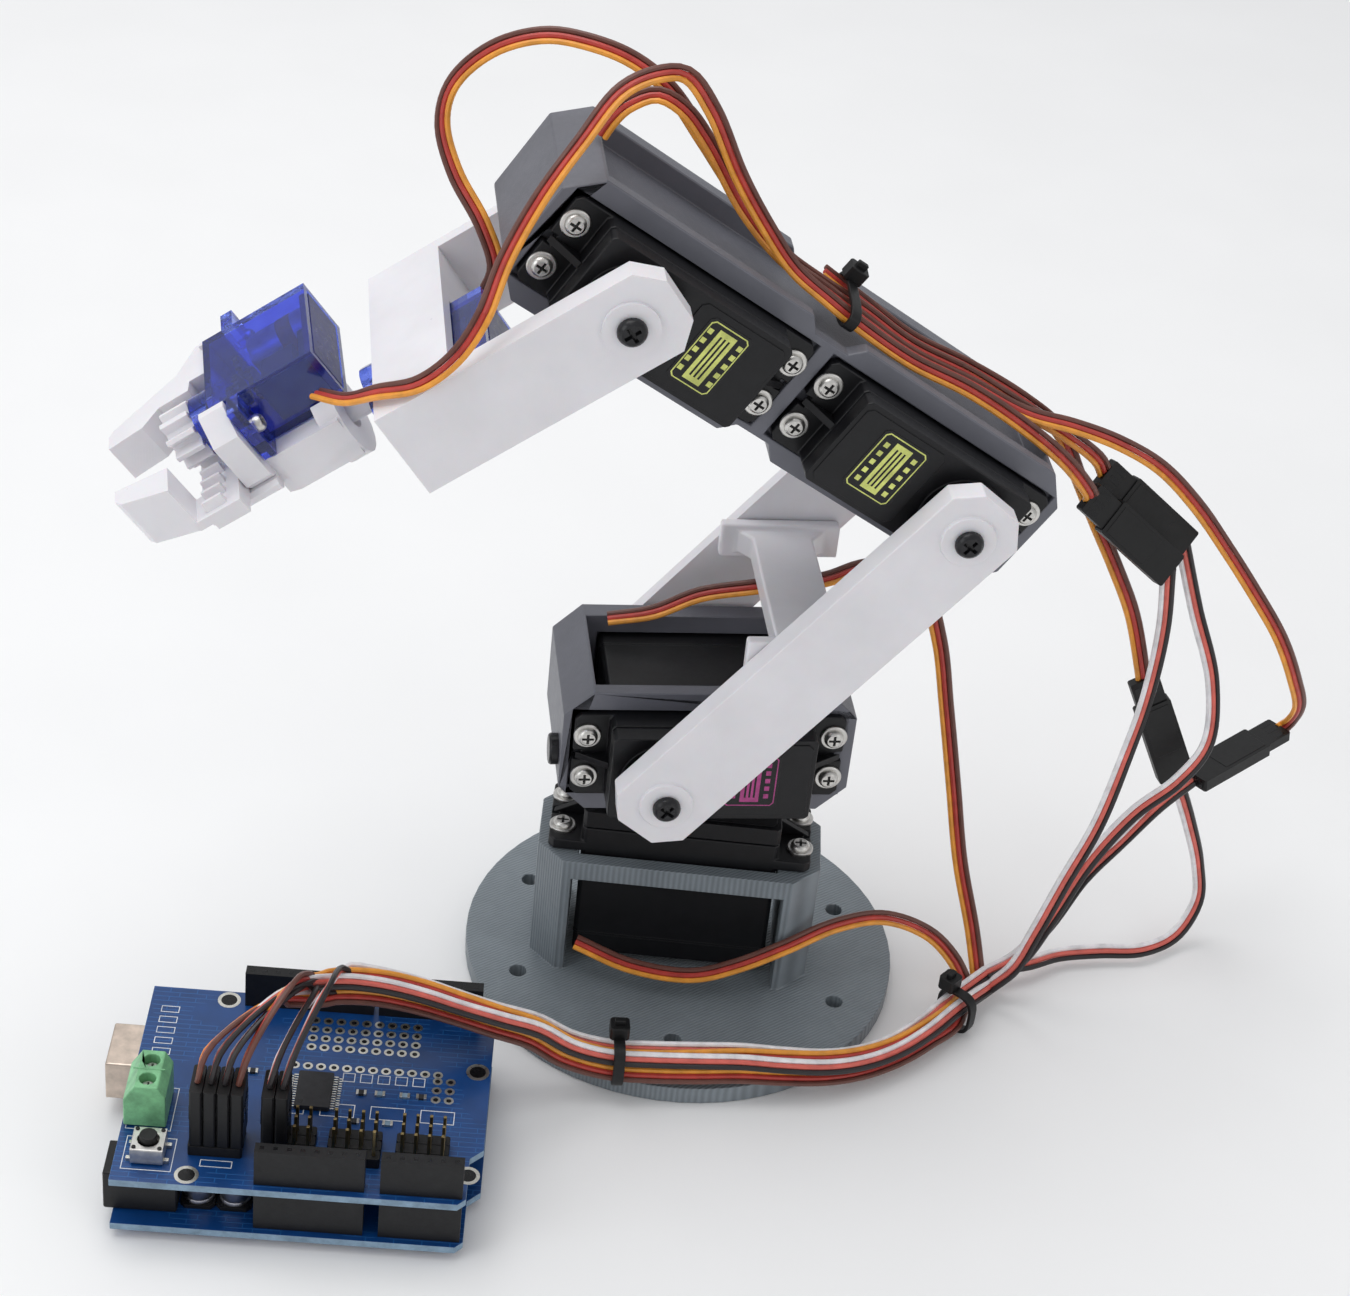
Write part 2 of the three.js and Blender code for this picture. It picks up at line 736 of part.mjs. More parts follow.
function mainBoard() {
  const solder = ["rear", "front"].flatMap((row) =>
    HEADER_SPANS[row].map((span) =>
      box(span, [HEADER_ROWS[row] - 0.5, HEADER_ROWS[row] + 0.5], [0, MAIN_Z + 0.5]),
    ),
  );
  const top = MAIN_Z + BOARD.thick;
  const pads = box([2, 10], [4, 12], [0, MAIN_Z + 0.5]);
  return union(boardPlate(MAIN_Z), ...socketStrips(top - 0.5, SHIELD_Z - GAP), ...solder, pads);
}

// Servo board: upper sockets, and four blocks of three-row pins for the servo plugs.
function shieldBoard() {
  const top = SHIELD_Z + BOARD.thick;
  const pinBlocks = [13.4, 26.8, 39.2, 52].map((x) =>
    box([x, x + 10.1], [7.6, 15.2], [top - 0.5, top + 2.4]),
  );
  return union(boardPlate(SHIELD_Z), ...socketStrips(top - 0.5, top + 8.5), ...pinBlocks);
}

function usbSocket() {
  const outer = box([-6.2, 9.8], [32.1, 44.1], [MAIN_Z + BOARD.thick + GAP, SHIELD_Z - GAP]);
  return cut(outer, box([-8, 6], [33.9, 42.3], [MAIN_Z + BOARD.thick + 1.4, SHIELD_Z - 1.4]));
}

function powerJack() {
  const z0 = MAIN_Z + BOARD.thick + GAP;
  const outer = box([-1.8, 12], [3.4, 12.2], [z0, SHIELD_Z - GAP]);
  return cut(outer, rod("x", 3.1, [-5, 8], [7.8, z0 + 4.6], 20));
}

function terminalBlock() {
  const z0 = SHIELD_Z + BOARD.thick + GAP;
  const outline = [
    [0.4, z0],
    [8.4, z0],
    [8.4, z0 + 7.5],
    [6.9, z0 + 10],
    [2.6, z0 + 10],
    [0.4, z0 + 6.5],
  ];
  const screwHoles = [16.6, 21.6].map((y) => rod("z", 1.6, [z0 + 7, z0 + 20], [4.7, y], 12));
  return cut(prism("y", outline, [14, 24.2]), ...screwHoles);
}

function resetSwitch() {
  const z0 = SHIELD_Z + BOARD.thick + GAP;
  const body = box([3.2, 9.4], [4.2, 10.4], [z0, z0 + 3.6]);
  return cut(body, rod("z", 2, [z0 + 1.4, z0 + 9], [6.3, 7.3], 16));
}

function buildController(parent) {
  const board = frame(parent, [BOARD.x, BOARD.y, 0], [0, 0, BOARD.turn]);
  const shieldTop = SHIELD_Z + BOARD.thick + GAP;
  const mainTop = MAIN_Z + BOARD.thick + GAP;
  board.add(mesh("main_board", mainBoard(), "board"));
  board.add(mesh("shield_board", shieldBoard(), "board"));
  board.add(mesh("usb_socket", usbSocket(), "steel"));
  board.add(mesh("power_jack", powerJack(), "blackPlastic"));
  board.add(mesh("terminal_block", terminalBlock(), "greenPlastic"));
  board.add(mesh("reset_switch", resetSwitch(), "steel"));
  const cap = rod("z", 1.7, [shieldTop + 1.7 + 0.5, shieldTop + 4.9], [6.3, 7.3], 16);
  board.add(mesh("reset_cap", cap, "blackPlastic"));
  const driver = box([31.5, 38.5], [21.5, 31.3], [shieldTop, shieldTop + 1.1]);
  board.add(mesh("driver_chip", driver, "blackPlastic"));
  const mcu = box([30, 64], [14, 22], [mainTop, mainTop + 4]);
  board.add(mesh("microcontroller", mcu, "blackPlastic"));
  [15.6, 22.4].forEach((x, i) => {
    const can = rod("z", 3.1, [mainTop, mainTop + 6.2], [x, 8.4], 20);
    board.add(mesh("capacitor_" + (i + 1), can, "steel"));
  });
  return board;
}

// ---- leads --------------------------------------------------------------------------------------
// Routes in the part's frame, hand-placed, start to end.

const LEAD = 1.2; // radius that stands for a flat three-wire lead

const ROUTES = {
  lead_gripper: [
    [-78, -23, 144],
    [-72, -29, 147],
    [-66, -34, 152],
    [-58, -38, 157],
    [-52, -38, 163],
    [-48, -36, 170],
    [-45, -31, 179],
    [-40, -26, 189],
    [-34, -19, 197],
    [-28, -12, 204],
    [-22, -8, 206],
    [-17, -5, 205],
    [-12, -5, 199],
    [-6, -5, 187],
    [0, -4, 177],
    [6, -4, 169],
    [13, -3, 163],
    [20, -3, 158],
    [30, -1, 151],
    [42, 1, 145],
    [54, 3, 137],
    [64, 6, 128],
    [70, 9, 120],
  ],
  lead_roll: [
    [-50, -2.4, 156.5],
    [-48.5, -2, 162],
    [-51.5, 0, 169.5],
    [-57.5, 5, 177],
    [-60.5, 8, 185],
    [-59, 8, 193],
    [-52, 7, 201],
    [-43, 6, 205],
    [-35, 5, 205],
    [-27, 4, 203],
    [-20, 2, 199],
    [-13, 2, 190],
    [-5, 2, 179],
    [3, 3, 169],
    [12, 3, 163],
    [20, 4, 158],
    [30, 5, 151],
    [42, 7, 145],
    [54, 9, 137.5],
    [63, 12, 131.5],
    [70.8, 15.2, 125],
  ],
  lead_wrist: [
    [-31.5, -0.5, 190],
    [-30, -1, 193],
    [-27, -2, 197],
    [-22, -1, 199],
    [-17, -1.5, 197],
    [-12, -1.5, 191],
    [-4, -1, 178],
    [4, -0.5, 169],
    [13, 0, 163],
    [20, 0.5, 158],
    [30, 2, 151],
    [42, 4, 145],
    [54, 6, 138.5],
    [64, 9, 135],
    [74, 13, 130],
    [84, 17, 123],
    [93, 19, 114],
    [101, 20.5, 104],
    [109, 21.5, 93.5],
    [117, 23, 82],
    [123, 26, 70],
    [127, 31, 59],
    [126.6, 35.6, 51],
  ],
  lead_elbow: [
    [12, 6.5, 164],
    [20, 7.5, 158],
    [30, 8, 151],
    [42, 10, 145],
    [54, 12, 137.8],
    [62, 14.2, 130.8],
    [68, 16, 119.5],
    [73.5, 16.7, 109],
    [79, 17, 99],
    [84.5, 17, 88],
    [88.6, 17, 75.9],
  ],
  lead_shoulder: [
    [-22, 8, 80],
    [-13, 9, 82],
    [-4, 11, 86],
    [6, 12.5, 88],
    [14, 13, 89.8],
    [21, 13, 91.5],
    [28, 13.5, 95],
    [35, 13.8, 96],
    [41, 14, 91],
    [46, 14, 79],
    [50, 13.5, 62],
    [54, 11.5, 44],
    [58, 8.5, 26],
    [62.5, 3, 12],
    [64.5, -4, 5],
  ],
  lead_base: [
    [-22, -14.5, 13],
    [-10, -17.5, 10.5],
    [3, -18, 10],
    [12, -16.5, 12.5],
    [21.5, -15, 17.5],
    [32, -9, 19.8],
    [42.5, -4, 19],
    [52.5, -3, 15],
    [58.5, -4, 9.5],
    [61.5, -6.5, 5.5],
  ],
  extension_lead_1: [
    [89, 17, 99],
    [91, 15, 86],
    [90, 11, 72],
    [87, 5, 60],
    [83, -2, 48],
    [78, -5, 34],
    [74, -6, 20],
    [71, -6, 10],
    [67, -6, 4.5],
  ],
  extension_lead_2: [
    [92, 22, 100],
    [98, 21, 88],
    [104, 17, 73],
    [105, 13, 60],
    [100, 9.5, 52.5],
    [92, 7, 45],
    [84, 3, 34],
    [78, 0, 20],
    [73, -1.5, 9],
    [68, -2, 4.5],
  ],
  extension_lead_3: [
    [102.5, 17.5, 45.2],
    [107, 20, 34],
    [112, 23, 20],
    [114, 24, 9],
    [110, 19, 3.5],
    [102, 13, 3],
    [92, 11, 3],
    [83, 8.5, 3],
    [76, 4, 3.5],
    [69, 1, 4],
  ],
  cable_bundle: [
    [62, -11.5, 5.3],
    [53, -23, 5.3],
    [43, -32, 5.3],
    [31, -39, 7.5],
    [14, -42, 9.2],
    [-4, -44.5, 9.2],
    [-18, -46, 10.6],
    [-28, -48, 17.5],
    [-38, -51, 23],
    [-52, -54, 30],
    [-66, -59, 35.5],
    [-75, -67, 37],
    [-81, -75, 36],
  ],
};

function tube(route, radius, sides = 8) {
  const points = route.map((p) => new THREE.Vector3(...p));
  const path = new THREE.CatmullRomCurve3(points, false, "centripetal");
  const shape = new THREE.Shape();
  for (let i = 0; i < sides; i++) {
    const angle = (2 * Math.PI * i) / sides;
    const at = [radius * Math.cos(angle), radius * Math.sin(angle)];
    if (i) shape.lineTo(...at);
    else shape.moveTo(...at);
  }
  return new THREE.ExtrudeGeometry(shape, {
    steps: Math.round(route.length * 1.4),
    bevelEnabled: false,
    extrudePath: path,
  });
}

// Ring of a cable tie round the bundle, its head on top.
function bundleTie(parent, name, at, turn) {
  const place = frame(parent, at, [0, 0, turn]);
  const band = cut(rod("x", 5.3, [-1.2, 1.2], [0, 0]), rod("x", 4.6, [-2, 2], [0, 0]));
  const head = box([-1.8, 1.8], [-2.2, 2.2], [5, 8.4]);
  place.add(mesh(name, union(band, head), "blackPlastic"));
}

// Inline plug-and-socket pair between a servo lead and an extension lead.
function connector(parent, name, at, turn) {
  const place = frame(parent, at, turn);
  place.add(mesh(name, box([-13.5, 13.5], [-3.9, 3.9], [-1.3, 1.3]), "blackPlastic"));
}

function tieRing(parent, name, at, turn, [halfY, halfZ]) {
  const place = frame(parent, at, turn);
  const band = cut(
    box([-1.2, 1.2], [-halfY - 0.8, halfY + 0.8], [-halfZ - 0.8, halfZ + 0.8]),
    box([-2, 2], [-halfY, halfY], [-halfZ, halfZ]),
  );
  const head = box([-1.8, 1.8], [halfY - 2, halfY + 1.6], [halfZ + 0.5, halfZ + 4]);
  place.add(mesh(name, union(band, head), "blackPlastic"));
}

function plugBlock(board, name, [x0, x1]) {
  const z0 = SHIELD_Z + BOARD.thick + 2.4 + GAP;
  board.add(mesh(name, box([x0, x1], [7.6, 15.2], [z0, z0 + 14]), "blackPlastic"));
}

function buildLeads(parent, board) {
  for (const [name, route] of Object.entries(ROUTES)) {
    const thick = name === "cable_bundle";
    const colour = name.startsWith("lead") ? "leadOrange" : "leadRed";
    parent.add(mesh(name, tube(route, thick ? 4.2 : LEAD), colour));
  }
  connector(parent, "connector_1", [79.5, 12.5, 110], [73 * DEG, 24 * DEG, -36 * DEG]);
  connector(parent, "connector_2", [82.6, 18.3, 112.3], [73 * DEG, 24 * DEG, -36 * DEG]);
  connector(parent, "connector_3", [95.2, 17, 60.5], [84 * DEG, 14 * DEG, -64 * DEG]);
  connector(parent, "connector_4", [115, 26, 49], [0, -8 * DEG, 40 * DEG]);
  tieRing(parent, "forearm_tie", [16.5, 1.5, 160.6], [0, 33 * DEG, 8 * DEG], [8, 1.8]);
  bundleTie(parent, "table_tie", [59.3, -15, 5.3], 232 * DEG);
  bundleTie(parent, "disc_tie", [-11, -45.15, 9.75], 186 * DEG);
  plugBlock(board, "servo_plugs_1", [13.6, 23.4]);
  plugBlock(board, "servo_plugs_2", [26.9, 32]);
}

// ---- assembly -------------------------------------------------------------------------------------

const root = new THREE.Group();
root.name = "desktop_robot_arm";

const base = buildBase(root);
const turret = buildTurret(base);
const upperArm = buildUpperArm(turret);
const forearm = buildForearm(upperArm);
const wrist = buildWrist(forearm);
buildGripper(wrist);
const controller = buildController(root);
buildLeads(root, controller);

export default root;
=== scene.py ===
import json
import math

import bmesh
import bpy
from mathutils import Matrix, Vector


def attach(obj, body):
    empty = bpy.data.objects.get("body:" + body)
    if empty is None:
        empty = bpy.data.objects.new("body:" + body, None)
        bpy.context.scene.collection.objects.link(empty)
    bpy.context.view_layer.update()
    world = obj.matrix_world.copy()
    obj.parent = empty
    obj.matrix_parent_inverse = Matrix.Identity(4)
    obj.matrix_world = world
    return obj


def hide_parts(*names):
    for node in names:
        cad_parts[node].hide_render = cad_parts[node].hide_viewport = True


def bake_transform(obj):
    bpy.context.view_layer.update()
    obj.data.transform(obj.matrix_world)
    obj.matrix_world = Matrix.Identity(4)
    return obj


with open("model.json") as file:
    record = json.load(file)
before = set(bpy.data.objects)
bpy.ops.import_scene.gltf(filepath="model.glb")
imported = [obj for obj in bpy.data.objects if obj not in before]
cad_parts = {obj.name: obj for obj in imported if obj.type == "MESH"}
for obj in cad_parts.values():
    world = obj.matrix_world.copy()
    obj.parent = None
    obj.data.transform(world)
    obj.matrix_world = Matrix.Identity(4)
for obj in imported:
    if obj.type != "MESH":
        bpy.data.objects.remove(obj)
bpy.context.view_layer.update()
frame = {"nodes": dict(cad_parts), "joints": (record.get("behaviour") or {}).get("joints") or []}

# Desktop robot arm. Lengths in this script are in millimetres in local frames; MM turns them
# into the frame's metres when a mesh is made.
MM = 0.001
NODES = frame["nodes"]
JOINTS = {joint["name"]: joint for joint in frame["joints"]}

# ---- driving values ---------------------------------------------------------------------

CAMERA = {
    "place": (-0.01767, -0.47103, 0.4093),
    "right": (0.9947478, 0.04151026, 0.09356124),
    "up": (-0.10069768, 0.5607664, 0.82182785),
    "lens": 76.49,
    "shift": (-0.00576, -0.02762),
}

SERVO_HOLES = [(x, y) for x in (-14.45, 35.05) for y in (-5, 5)]
MICRO_HOLES = (-8.3, 19)
SERVO_TOP = 10.4  # cover above the flange's underside
SERVO_FLANGE = 2.5
FLANGE_Y = -13.1  # the flange's underside in a housing
REAR_FACE = 21  # rear link plates
ROLL_FLANGE = (-41.1, -5.5, 0)
GRIPPER_FLANGE = (-71, 2.3, 11.4)
FOREARM_LENGTH = 78.8
BASE_SHAFT = (-12.6, 0.4, 33.3)
SHOULDER_SHAFT = (1, FLANGE_Y, 64)

BOARD_CORNER = (-0.103, -0.096, 0)
BOARD_TURN = math.radians(1.9)
BOARD_LENGTH = 68.6
BOARD_WIDTH = 53.4
MAIN_TOP = 3.6
SHIELD_BOTTOM = 13.4
SHIELD_TOP = 15.0
PITCH = 2.54
PLUG_PLACES = (14.9, 17.44, 19.98, 22.52, 28.2, 30.74)  # along the servo board
PLUG_MIDDLE = 11.4  # across the servo board
PLUG_TOP = 31.2
HEADER_SPANS = {"rear": [(18.6, 44.2), (45.2, 65.7)], "front": [(26.6, 47.1), (50, 65.4)]}
HEADER_ROWS = {"rear": 50.8, "front": 2.6}

STRAND = 0.56  # radius of one wire in a flat lead
STRAND_STEP = 1.08
TIE_SQUARENESS = 0.62  # 1 is an ellipse, less is closer to a rectangle


# ---- local frames -----------------------------------------------------------------------


def local_frame(origin, x_way, y_way):
    """Matrix from millimetres in a frame with that origin, X way and Y way, to the row frame."""
    x, y = Vector(x_way).normalized(), Vector(y_way).normalized()
    matrix = Matrix((x, y, x.cross(y))).transposed().to_4x4()
    matrix.translation = Vector(origin)
    return matrix @ Matrix.Scale(MM, 4)


def joint_place(name):
    return Vector(JOINTS[name]["pos_m"])


def joint_axis(name):
    return Vector(JOINTS[name]["axis"])


PIVOT_WAY = joint_axis("shoulder")
TO_WRIST = -joint_axis("wrist_roll")
WORLD = Matrix.Scale(MM, 4)
TURRET = local_frame(joint_place("waist"), PIVOT_WAY.cross(Vector((0, 0, 1))), PIVOT_WAY)
ARM = local_frame(joint_place("shoulder"), joint_place("elbow") - joint_place("shoulder"), PIVOT_WAY)
FOREARM = local_frame(joint_place("elbow"), joint_place("elbow") - joint_place("wrist_pitch"), PIVOT_WAY)
WRIST = local_frame(joint_place("wrist_pitch"), TO_WRIST, PIVOT_WAY)
ROLL = local_frame(joint_place("wrist_roll"), joint_axis("pinion_turn"), joint_axis("jaw_slide"))
BOARD = Matrix.Translation(BOARD_CORNER) @ Matrix.Rotation(BOARD_TURN, 4, "Z") @ WORLD

FACE_FRONT = Matrix.Rotation(math.pi / 2, 4, "X")
TURNED = Matrix.Rotation(math.pi, 4, "Z")
SEATS = {
    "base": (WORLD @ Matrix.Translation(BASE_SHAFT), "base"),
    "shoulder": (TURRET @ Matrix.Translation(SHOULDER_SHAFT) @ FACE_FRONT, "turret"),
    "elbow": (FOREARM @ Matrix.Translation((0, FLANGE_Y, 0)) @ FACE_FRONT @ TURNED, "forearm"),
    "wrist": (
        FOREARM @ Matrix.Translation((-FOREARM_LENGTH, FLANGE_Y, 0)) @ FACE_FRONT,
        "forearm",
    ),
}


def micro_seat(parent, place, body_way):
    """A micro servo whose shaft points along -X and whose body runs along +Y or -Y."""
    turn = Matrix(((0, 0, -1), (body_way, 0, 0), (0, -body_way, 0))).to_4x4()
    return parent @ Matrix.Translation(place) @ turn


MICRO_SEATS = {
    "roll": (micro_seat(WRIST, ROLL_FLANGE, -1), "wrist"),
    "gripper": (micro_seat(ROLL, GRIPPER_FLANGE, 1), "gripper"),
}


# ---- materials --------------------------------------------------------------------------


def srgb(red, green, blue):
    def linear(value):
        value /= 255
        return value / 12.92 if value <= 0.04045 else ((value + 0.055) / 1.055) ** 2.4

    return (linear(red), linear(green), linear(blue), 1)


class Nodes:
    """Short words for a material's node tree."""

    def __init__(self, name):
        self.material = bpy.data.materials.new(name)
        self.material.use_nodes = True
        self.tree = self.material.node_tree
        self.shader = self.tree.nodes["Principled BSDF"]
        self.place = self.add("ShaderNodeTexCoord").outputs["Object"]

    def add(self, kind, **values):
        node = self.tree.nodes.new(kind)
        for key, value in values.items():
            setattr(node, key, value)
        return node

    def link(self, out, socket):
        self.tree.links.new(out, socket)

    def mapped(self, rotate=(0, 0, 0), scale=(1, 1, 1)):
        node = self.add("ShaderNodeMapping")
        node.inputs["Rotation"].default_value = rotate
        node.inputs["Scale"].default_value = scale
        self.link(self.place, node.inputs["Vector"])
        return node.outputs["Vector"]

    def noise(self, size, detail=3, vector=None, roughness=0.55):
        """Noise whose features are about size millimetres across."""
        node = self.add("ShaderNodeTexNoise")
        node.inputs["Scale"].default_value = 1 / (size * MM)
        node.inputs["Detail"].default_value = detail
        node.inputs["Roughness"].default_value = roughness
        self.link(vector or self.place, node.inputs["Vector"])
        return node.outputs["Fac"]

    def bands(self, pitch, vector, distortion=0.0):
        """Parallel lines across X, one each pitch millimetres."""
        node = self.add("ShaderNodeTexWave", wave_type="BANDS", bands_direction="X")
        node.inputs["Scale"].default_value = math.pi / 10 / (pitch * MM)
        node.inputs["Distortion"].default_value = distortion
        self.link(vector, node.inputs["Vector"])
        return node.outputs["Fac"]

    def ramp(self, factor, stops):
        node = self.add("ShaderNodeValToRGB")
        elements = node.color_ramp.elements
        while len(elements) < len(stops):
            elements.new(0.5)
        for element, (at, colour) in zip(elements, stops):
            element.position = at
            element.color = colour
        self.link(factor, node.inputs["Fac"])
        return node.outputs["Color"]

    def mix(self, factor, a, b, blend_type="MIX"):
        node = self.add("ShaderNodeMix", data_type="RGBA", blend_type=blend_type)
        for socket, value in (("Factor", factor), ("A", a), ("B", b)):
            target = next(s for s in node.inputs if s.name == socket and s.enabled)
            if isinstance(value, (tuple, float, int)):
                target.default_value = value
            else:
                self.link(value, target)
        return next(s for s in node.outputs if s.enabled)

    def span(self, factor, low, high):
        node = self.add("ShaderNodeMapRange")
        node.inputs["To Min"].default_value = low
        node.inputs["To Max"].default_value = high
        self.link(factor, node.inputs["Value"])
        return node.outputs["Result"]

    def bump(self, *layers):
        """layers are (height output, depth in millimetres)."""
        normal = None
        for height, depth in layers:
            node = self.add("ShaderNodeBump")
            node.inputs["Distance"].default_value = depth * MM
            self.link(height, node.inputs["Height"])
            if normal:
                self.link(normal, node.inputs["Normal"])
            normal = node.outputs["Normal"]
        self.link(normal, self.shader.inputs["Normal"])

    def colour(self, out):
        self.link(out, self.shader.inputs["Base Color"])

    def roughness(self, out):
        self.link(out, self.shader.inputs["Roughness"])

    def set(self, **values):
        for key, value in values.items():
            self.shader.inputs[key.replace("_", " ")].default_value = value
        return self


def shade_of(colour, factor):
    return (*(min(1, c * factor) for c in colour[:3]), 1)


def printed_plastic(name, colour, rotate, pitch, depth, rough):
    """Printed layers, seen as fine parallel lines painted darker and lighter as shade and highlight on the
    layer crests, with slow colour drift.
    """
    n = Nodes(name)
    lines = n.bands(pitch, n.mapped(rotate), distortion=0.35)
    drift = n.noise(9, 4)
    base = n.ramp(drift, [(0.3, shade_of(colour, 0.86)), (0.7, shade_of(colour, 1.12))])
    # Layer lines: painted shade in the grooves and painted highlight on the crests, on top of the bump's
    # relief.
    layer_line_shade_and_highlight = n.ramp(lines, [(0, shade_of(colour, 0.62)), (1, shade_of(colour, 1.45))])
    n.colour(n.mix(0.36, base, layer_line_shade_and_highlight))
    n.roughness(n.span(n.noise(1.6), rough - 0.08, rough + 0.1))
    n.bump((lines, depth), (n.noise(0.7), 0.02))
    return n.material


def glossy_print(name, colour, rough=0.3):
    """Smooth white print: faint layers, soft gloss, a little light inside."""
    n = Nodes(name).set(Subsurface_Weight=0.12, Subsurface_Scale=0.0015, IOR=1.5)
    warm = n.noise(14, 3)
    n.colour(n.ramp(warm, [(0.3, shade_of(colour, 0.95)), (0.7, shade_of(colour, 1.03))]))
    n.roughness(n.span(n.noise(2.2, 4), rough - 0.07, rough + 0.12))
    n.bump((n.noise(1.1, 4), 0.035), (n.bands(0.42, n.mapped((0, 0, 0.4))), 0.004))
    return n.material


def moulded(name, colour, rough=0.42, grain=0.35, depth=0.012):
    """Moulded plastic with a fine spark-eroded grain and faint handling marks."""
    n = Nodes(name).set(Specular_IOR_Level=0.36)
    wear = n.noise(4.5, 6, roughness=0.7)
    n.colour(n.ramp(wear, [(0.35, shade_of(colour, 0.8)), (0.75, shade_of(colour, 1.5))]))
    n.roughness(n.span(n.noise(1.3, 5), rough - 0.1, rough + 0.14))
    n.bump((n.noise(grain, 2), depth))
    return n.material


def metal(name, colour, rough=0.22, grain=0.3):
    n = Nodes(name).set(Metallic=1.0)
    n.colour(n.ramp(n.noise(2.5, 5), [(0.3, shade_of(colour, 0.78)), (0.7, shade_of(colour, 1.1))]))
    n.roughness(n.span(n.noise(0.9, 4), rough - 0.06, rough + 0.16))
    n.bump((n.noise(grain, 3), 0.004))
    return n.material


def clear_blue(name):
    """Tinted clear case: light passes, and the surface is glossy with faint flow marks."""
    n = Nodes(name).set(Transmission_Weight=0.93, IOR=1.3, Coat_Weight=0.6, Coat_Roughness=0.03)
    flow = n.noise(3.5, 4)
    n.colour(n.ramp(flow, [(0.3, srgb(92, 116, 236)), (0.7, srgb(122, 146, 250))]))
    n.roughness(n.span(n.noise(1.2), 0.01, 0.07))
    n.bump((n.noise(2.4, 2), 0.02))
    return n.material


def wire(name, colour, rough=0.38):
    """Soft wire sheath with the faint waviness of the strands inside."""
    n = Nodes(name).set(Subsurface_Weight=0.06, Subsurface_Scale=0.0008)
    n.colour(n.ramp(n.noise(3, 3), [(0.3, shade_of(colour, 0.82)), (0.7, shade_of(colour, 1.12))]))
    n.roughness(n.span(n.noise(1.5), rough - 0.08, rough + 0.12))
    n.bump((n.noise(0.8, 2), 0.03))
    return n.material


def solder_mask(name, colour, trace):
    """Circuit board: straight copper tracks under the mask, slightly raised and lighter."""
    n = Nodes(name).set(Coat_Weight=0.2, Coat_Roughness=0.12)
    tracks = n.add("ShaderNodeTexBrick", offset=0.37)
    for socket, value in (("Scale", 1 / MM), ("Mortar Size", 0.13), ("Mortar Smooth", 0.4)):
        tracks.inputs[socket].default_value = value
    for socket, value in (("Brick Width", 5.3), ("Row Height", 1.27)):
        tracks.inputs[socket].default_value = value
    n.link(n.mapped((0, 0, -BOARD_TURN)), tracks.inputs["Vector"])
    where = n.ramp(n.noise(11, 1), [(0.5, (0, 0, 0, 1)), (0.53, (1, 1, 1, 1))])
    lines = n.mix(where, (0, 0, 0, 1), tracks.outputs["Fac"])
    ground = n.ramp(n.noise(7, 3), [(0.3, shade_of(colour, 0.85)), (0.7, shade_of(colour, 1.15))])
    n.colour(n.mix(lines, ground, trace))
    n.roughness(n.span(n.noise(0.8), 0.26, 0.42))
    n.bump((lines, 0.03), (n.noise(0.5), 0.006))
    return n.material


def label_print(name, ground, mark):
    """Printed label face: a plain ground with bars across it."""
    n = Nodes(name)
    bars = n.bands(2.6, n.mapped((0.5, 0.3, 0.2)))
    n.colour(n.mix(n.ramp(bars, [(0.8, (0, 0, 0, 1)), (0.86, (1, 1, 1, 1))]), ground, mark))
    n.roughness(n.span(n.noise(1.4), 0.32, 0.5))
    n.bump((n.noise(0.6), 0.01))
    return n.material


TILT_LINES = (0, 0, math.radians(52))
ALONG_PIVOT = (0, 0, -math.pi / 2 - math.radians(8.7))
WHITE = srgb(229, 227, 231)

